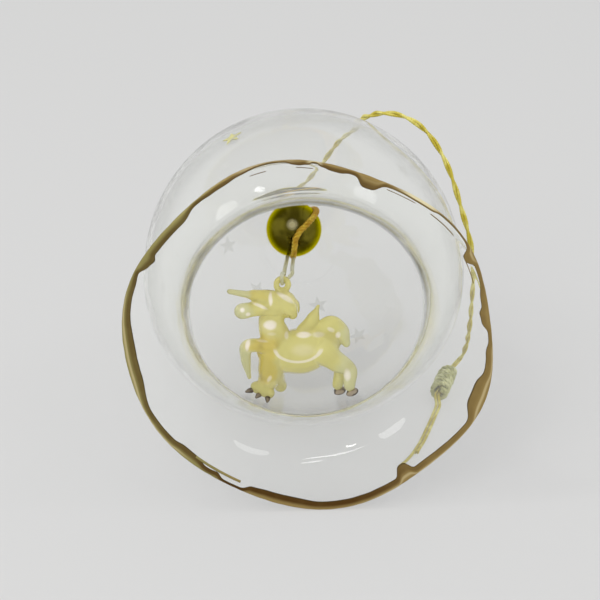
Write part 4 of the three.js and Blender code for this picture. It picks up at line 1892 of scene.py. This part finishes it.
    def _hoof_place(self, ball: Vector) -> Vector:
        """Flattens a ball into a hoof: broad below, narrower above, with a cleft at the toe.

        Args:
            ball: a corner of the ball.

        Returns:
            Its place on the hoof.
        """
        part = ball.z / self.hoof_radius
        width = 1.0 - self.hoof_taper * part
        toe = max(0.0, -ball.y / self.hoof_radius)
        cleft = 1 - self.cleft_depth * math.exp(-((ball.x / self.cleft_width) ** 2)) * toe
        return Vector((ball.x * width, ball.y * width * cleft, part * self.hoof_height / 2))


@dataclass
class Hanger:
    """The doubled cord outside the crown, its barrel knot and its two tails."""

    globe: Vector
    diameter: float = 1.3 * MM
    wrap_radius: float = 1.6 * MM
    wrap_pitch: float = 1.48 * MM
    wrap_turns: int = 5
    wrap_points: int = 24
    wrap_step: float = 0.16 * MM
    tuck_points: int = 4
    tuck_slope: float = 2.4 * MM
    tuck_depth: float = 0.4 * MM
    tail_inset: float = 0.4 * MM
    tail_aside: float = 0.36 * MM
    tail_lead: float = 1.6 * MM
    route: tuple[Place, ...] = (
        (0.0, 0.0363, -0.0033),
        (0.0015, 0.0377, -0.0006),
        (0.0036, 0.0365, 0.0042),
        (0.0061, 0.0334, 0.0104),
        (0.0089, 0.0299, 0.0164),
        (0.0116, 0.0246, 0.0215),
        (0.0139, 0.0178, 0.026),
        (0.0175, 0.0124, 0.0289),
        (0.0212, 0.0102, 0.0289),
        (0.0253, 0.0087, 0.0265),
        (0.0293, 0.006, 0.021),
        (0.0327, 0.0017, 0.0116),
        (0.0346, -0.0014, 0.0043),
        (0.0348, -0.002, -0.0018),
        (0.0346, -0.0006, -0.0086),
        (0.0346, 0.0035, -0.0166),
        (0.0346, 0.008, -0.0226),
        (0.0344, 0.0112, -0.0262),
        (0.0338, 0.0126, -0.0284),
        (0.0325, 0.0116, -0.0294),
    )
    knot_start: Place = (0.0309, 0.0086, -0.0296)
    knot_heading: Place = (-0.3, -0.95, -0.125)
    long_tail: tuple[Place, ...] = (
        (0.028, -0.003, -0.0314),
        (0.0271, -0.0056, -0.0321),
        (0.0256, -0.0108, -0.03225),
        (0.0243, -0.0152, -0.03225),
        (0.023, -0.0188, -0.03225),
        (0.0215, -0.0223, -0.03225),
        (0.0188, -0.0271, -0.03225),
    )
    short_tail: tuple[Place, ...] = (
        (0.0287, -0.0032, -0.0314),
        (0.0278, -0.0058, -0.0321),
        (0.0263, -0.011, -0.03225),
        (0.025, -0.0154, -0.03225),
        (0.0237, -0.0189, -0.03225),
        (0.0226, -0.0213, -0.03225),
    )

    def __post_init__(self) -> None:
        """Works out the knot's line."""
        self.heading = Vector(self.knot_heading).normalized()
        self.side = Vector((0, 0, 1)).cross(self.heading).normalized()
        self.up = self.heading.cross(self.side)
        self.start = self.globe + Vector(self.knot_start)
        self.end = self.start + self.heading * self.wrap_pitch * self.wrap_turns

    def _knot(self) -> bpy.types.Object:
        """Winds the barrel knot, its ends tucked under its last turns.

        Returns:
            The piece.
        """
        places = []
        last = self.wrap_turns * self.wrap_points
        for i in range(-self.tuck_points, last + self.tuck_points + 1):
            turns = i / self.wrap_points
            beyond = max(0.0, -turns, turns - self.wrap_turns)
            reach = self.wrap_radius - min(beyond * self.tuck_slope, self.tuck_depth)
            angle = 2 * math.pi * turns
            out = self.side * math.cos(angle) + self.up * math.sin(angle)
            places.append(self.start + self.heading * self.wrap_pitch * turns + out * reach)
        return WRAP.make("barrel_knot_wrap", Route.through(places, self.wrap_step))

    def _tail(self, name: str, places: Sequence[Place], sign: int) -> bpy.types.Object:
        """Lays a tail from the knot onto the table.

        Args:
            name: the piece's name.
            places: its route, in metres from the globe.
            sign: the side of the knot where it comes out.

        Returns:
            The piece.
        """
        begin = self.end - self.heading * self.tail_inset + self.side * sign * self.tail_aside
        onward = begin + self.heading * self.tail_lead
        route = [begin, onward, *(self.globe + Vector(place) for place in places)]
        return TAIL_THREAD.make(name, Route.through(route, CORD_STEP))

    def build(
        self,
        inside: Vector,
        crown: Vector,
        finishes: tuple[bpy.types.Material, bpy.types.Material],
    ) -> None:
        """Makes the cord, the knot and the tails.

        Args:
            inside: where the cord leaves the bead.
            crown: where it leaves the crown.
            finishes: the cord's material, and the knot's.
        """
        thread, pale = finishes
        outside = [self.globe + Vector(place) for place in self.route]
        route = Route.through([inside, crown, *outside, self.start, self.end], CORD_STEP)
        cord = DOUBLED.make("hanger_thread", route)
        Bench.dress(cord, thread, Body.BELL, Slot.CORD, "hanger_cord")
        knot = self._knot()
        Bench.dress(knot, pale, Body.BELL, Slot.CORD, "barrel_knot")
        tails = [
            self._tail("tail_long_thread", self.long_tail, -1),
            self._tail("tail_short_thread", self.short_tail, 1),
        ]
        for tail, node in zip(tails, ("tail_long", "tail_short")):
            Bench.dress(tail, thread, Body.BELL, Slot.CORD, node)
        route.length
        LOG.info("hanger %.1f mm", route.length / MM)


@dataclass(frozen=True)
class Lamp:
    """A soft lamp: its place from the globe, width and depth in metres, and its power in watts."""

    name: str
    place: Place
    size: Pair
    power: float
    mirrored: bool = True

    def hang(self, globe: Vector) -> None:
        """Hangs the lamp so that it faces the bell, its width along the X axis.

        Args:
            globe: the globe's centre.
        """
        data = bpy.data.lights.new(self.name, "AREA")
        data.shape = "ELLIPSE"
        data.size, data.size_y = self.size
        data.energy = self.power
        lamp = bpy.data.objects.new(self.name, data)
        lamp.location = globe + Vector(self.place)
        lamp.rotation_mode = "QUATERNION"
        out = Vector(self.place).normalized()
        across = (Vector((1, 0, 0)) - out * out.x).normalized()
        lamp.rotation_quaternion = Matrix((across, out.cross(across), out)).transposed().to_quaternion()
        lamp.visible_glossy = self.mirrored
        lamp.visible_transmission = False
        bpy.context.collection.objects.link(lamp)


@dataclass
class Studio:
    """The table, the light and the camera."""

    globe: Vector
    azimuth: float = -1.75
    elevation: float = 27.0
    distance: float = 455 * MM
    lens: float = 130.9
    aim: Place = (-0.616 * MM, 0.162 * MM, -7.849 * MM)
    sensor: float = 36.0
    table_radius: float = 4.0
    table_gap: float = 0.06 * MM
    table_colour: Colour = (0.7, 0.7, 0.69)
    backdrop: float = 0.68
    shadow_lift: float = 0.64
    lamps: tuple[Lamp, ...] = (
        Lamp("window", (-0.67, -0.13, 0.57), (0.26, 0.26), 0.6),
        Lamp("side_window", (0.55, -0.07, 0.71), (0.22, 0.22), 0.35),
        Lamp("front", (-0.3, -0.6, 0.6), (0.5, 0.5), 2.2, mirrored=False),
        Lamp("long_tube", (-0.17, -0.22, 0.82), (0.68, 0.03), 0.4),
        Lamp("short_tube", (0.055, -0.315, 0.83), (0.25, 0.03), 0.15),
        Lamp("bulb", (-0.4, -0.08, 0.81), (0.11, 0.08), 0.5),
    )

    def build(self) -> None:
        """Sets up the scene."""
        self._table()
        self._sky()
        for lamp in self.lamps:
            lamp.hang(self.globe)
        self._camera()
        bpy.context.scene.view_settings.view_transform = "Standard"

    def _table(self) -> None:
        """Lays the plain pale table."""
        Bench.clear()
        bpy.ops.mesh.primitive_circle_add(
            vertices=96,
            radius=self.table_radius,
            fill_type="NGON",
            location=(0, 0, -self.table_gap),
        )
        table = bpy.context.object
        table.name = "table"
        board = Board("pale_table")
        board.principled(base_color=self.table_colour, roughness=0.6, specular_ior_level=0.1)
        rays = board.node("ShaderNodeLightPath").outputs
        seen = Wire(board, rays["Is Camera Ray"]) + Wire(board, rays["Is Glossy Ray"])
        seen = (seen + Wire(board, rays["Is Transmission Ray"])).step(0.0, 1.0)
        plain = board.node(
            "ShaderNodeEmission",
            None,
            {"Color": (1.0, 1.0, 1.0), "Strength": self.backdrop},
        )
        board.cover(self.shadow_lift * seen, plain)
        table.data.materials.append(board.material)
        table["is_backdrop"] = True

    def _sky(self) -> None:
        """Lights all round, the same pale grey as the table wherever it shows."""
        world = bpy.data.worlds.new("studio")
        world.use_nodes = True
        bpy.context.scene.world = world
        nodes, links = world.node_tree.nodes, world.node_tree.links
        background = nodes["Background"]
        background.inputs["Color"].default_value = (1, 1, 1, 1)
        background.inputs["Strength"].default_value = self.backdrop
        links.new(background.outputs[0], nodes["World Output"].inputs[0])

    def _camera(self) -> None:
        """Stands the camera where the photograph was taken from."""
        turn, rise = math.radians(self.azimuth), math.radians(self.elevation)
        back = Vector((
            math.sin(turn) * math.cos(rise),
            -math.cos(turn) * math.cos(rise),
            math.sin(rise),
        ))
        data = bpy.data.cameras.new("camera")
        data.lens = self.lens
        data.sensor_width = self.sensor
        data.clip_start = 0.01
        camera = bpy.data.objects.new("camera", data)
        camera.location = self.globe + Vector(self.aim) + back * self.distance
        camera.rotation_mode = "QUATERNION"
        camera.rotation_quaternion = (-back).to_track_quat("-Z", "Y")
        bpy.context.collection.objects.link(camera)
        bpy.context.scene.camera = camera


def main() -> None:
    """Builds the ornament on its frame."""
    logging.basicConfig(level=logging.INFO, format="%(name)s %(message)s")
    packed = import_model()
    solid_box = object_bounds()
    joints = packed["record"]["behaviour"]["joints"]
    shell = BellShell()
    clapper = Clapper()
    bead_above = clapper.above_globe(shell.inside)
    frame = BellFrame.of(joints, shell.globe_height, bead_above)
    ring = Vector(next(joint for joint in joints if joint["name"] == "figure_swing")["pos_m"])

    Studio(frame.globe).build()
    thread = MetallicThread().make()
    pale_thread = MetallicThread("pale_thread", (0.78, 0.78, 0.42), (0.52, 0.52, 0.2)).make()
    inside = frame.globe + frame.axis * (bead_above + clapper.bead_radius + clapper.clearance)
    crown = frame.globe + frame.axis * shell.globe_radius
    Hanger(frame.globe).build(inside, crown, (thread, pale_thread))

    shell.build_glass(frame, ClearGlass().make())
    shell.build_gilding(frame, LipGilt().make())
    faint_gilt = StarGilt("faint_star_gilding", (0.62, 0.64, 0.44), (0.6, 0.62, 0.55), 0.1)
    shell.build_stars(frame, (StarGilt().make(), faint_gilt.make()))

    bead_height = shell.globe_height + bead_above
    bead_middle = frame.globe + frame.axis * bead_above
    clapper.build_bead(frame, bead_height, BeadMirror(bead_middle + Vector(clapper.sag)).make())
    # Painted shade: the strand over the bead is the cord coloured deeper and more orange.
    shaded_tied_thread = MetallicThread("shaded_tied_thread", (0.8, 0.56, 0.05), (0.62, 0.35, 0.02)).make()
    clapper.build_ties(frame, bead_height, thread, shaded_tied_thread)
    # Painted light: the loop is the cord coloured paler and greyer.
    painted_light_loop_thread = MetallicThread("painted_light_loop_thread", (0.85, 0.85, 0.66), (0.78, 0.75, 0.48)).make()
    clapper.build_loop(bead_middle, ring, painted_light_loop_thread)

    animal = Animal(ring, frame.globe, shell.inside)
    animal.build_body(clapper, AnimalGlass(ring).make())
    animal.build_claws(DarkGlass().make())
    animal.build_hooves(DarkGlass("dark_glass_hooves", thin=(0.64, 0.53, 0.4)).make())

    boxes = {"cad": solid_box, "visual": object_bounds()}
    boxes = {name: [list(corner) for corner in box] for name, box in boxes.items()}


if __name__ == "__main__":
    main()
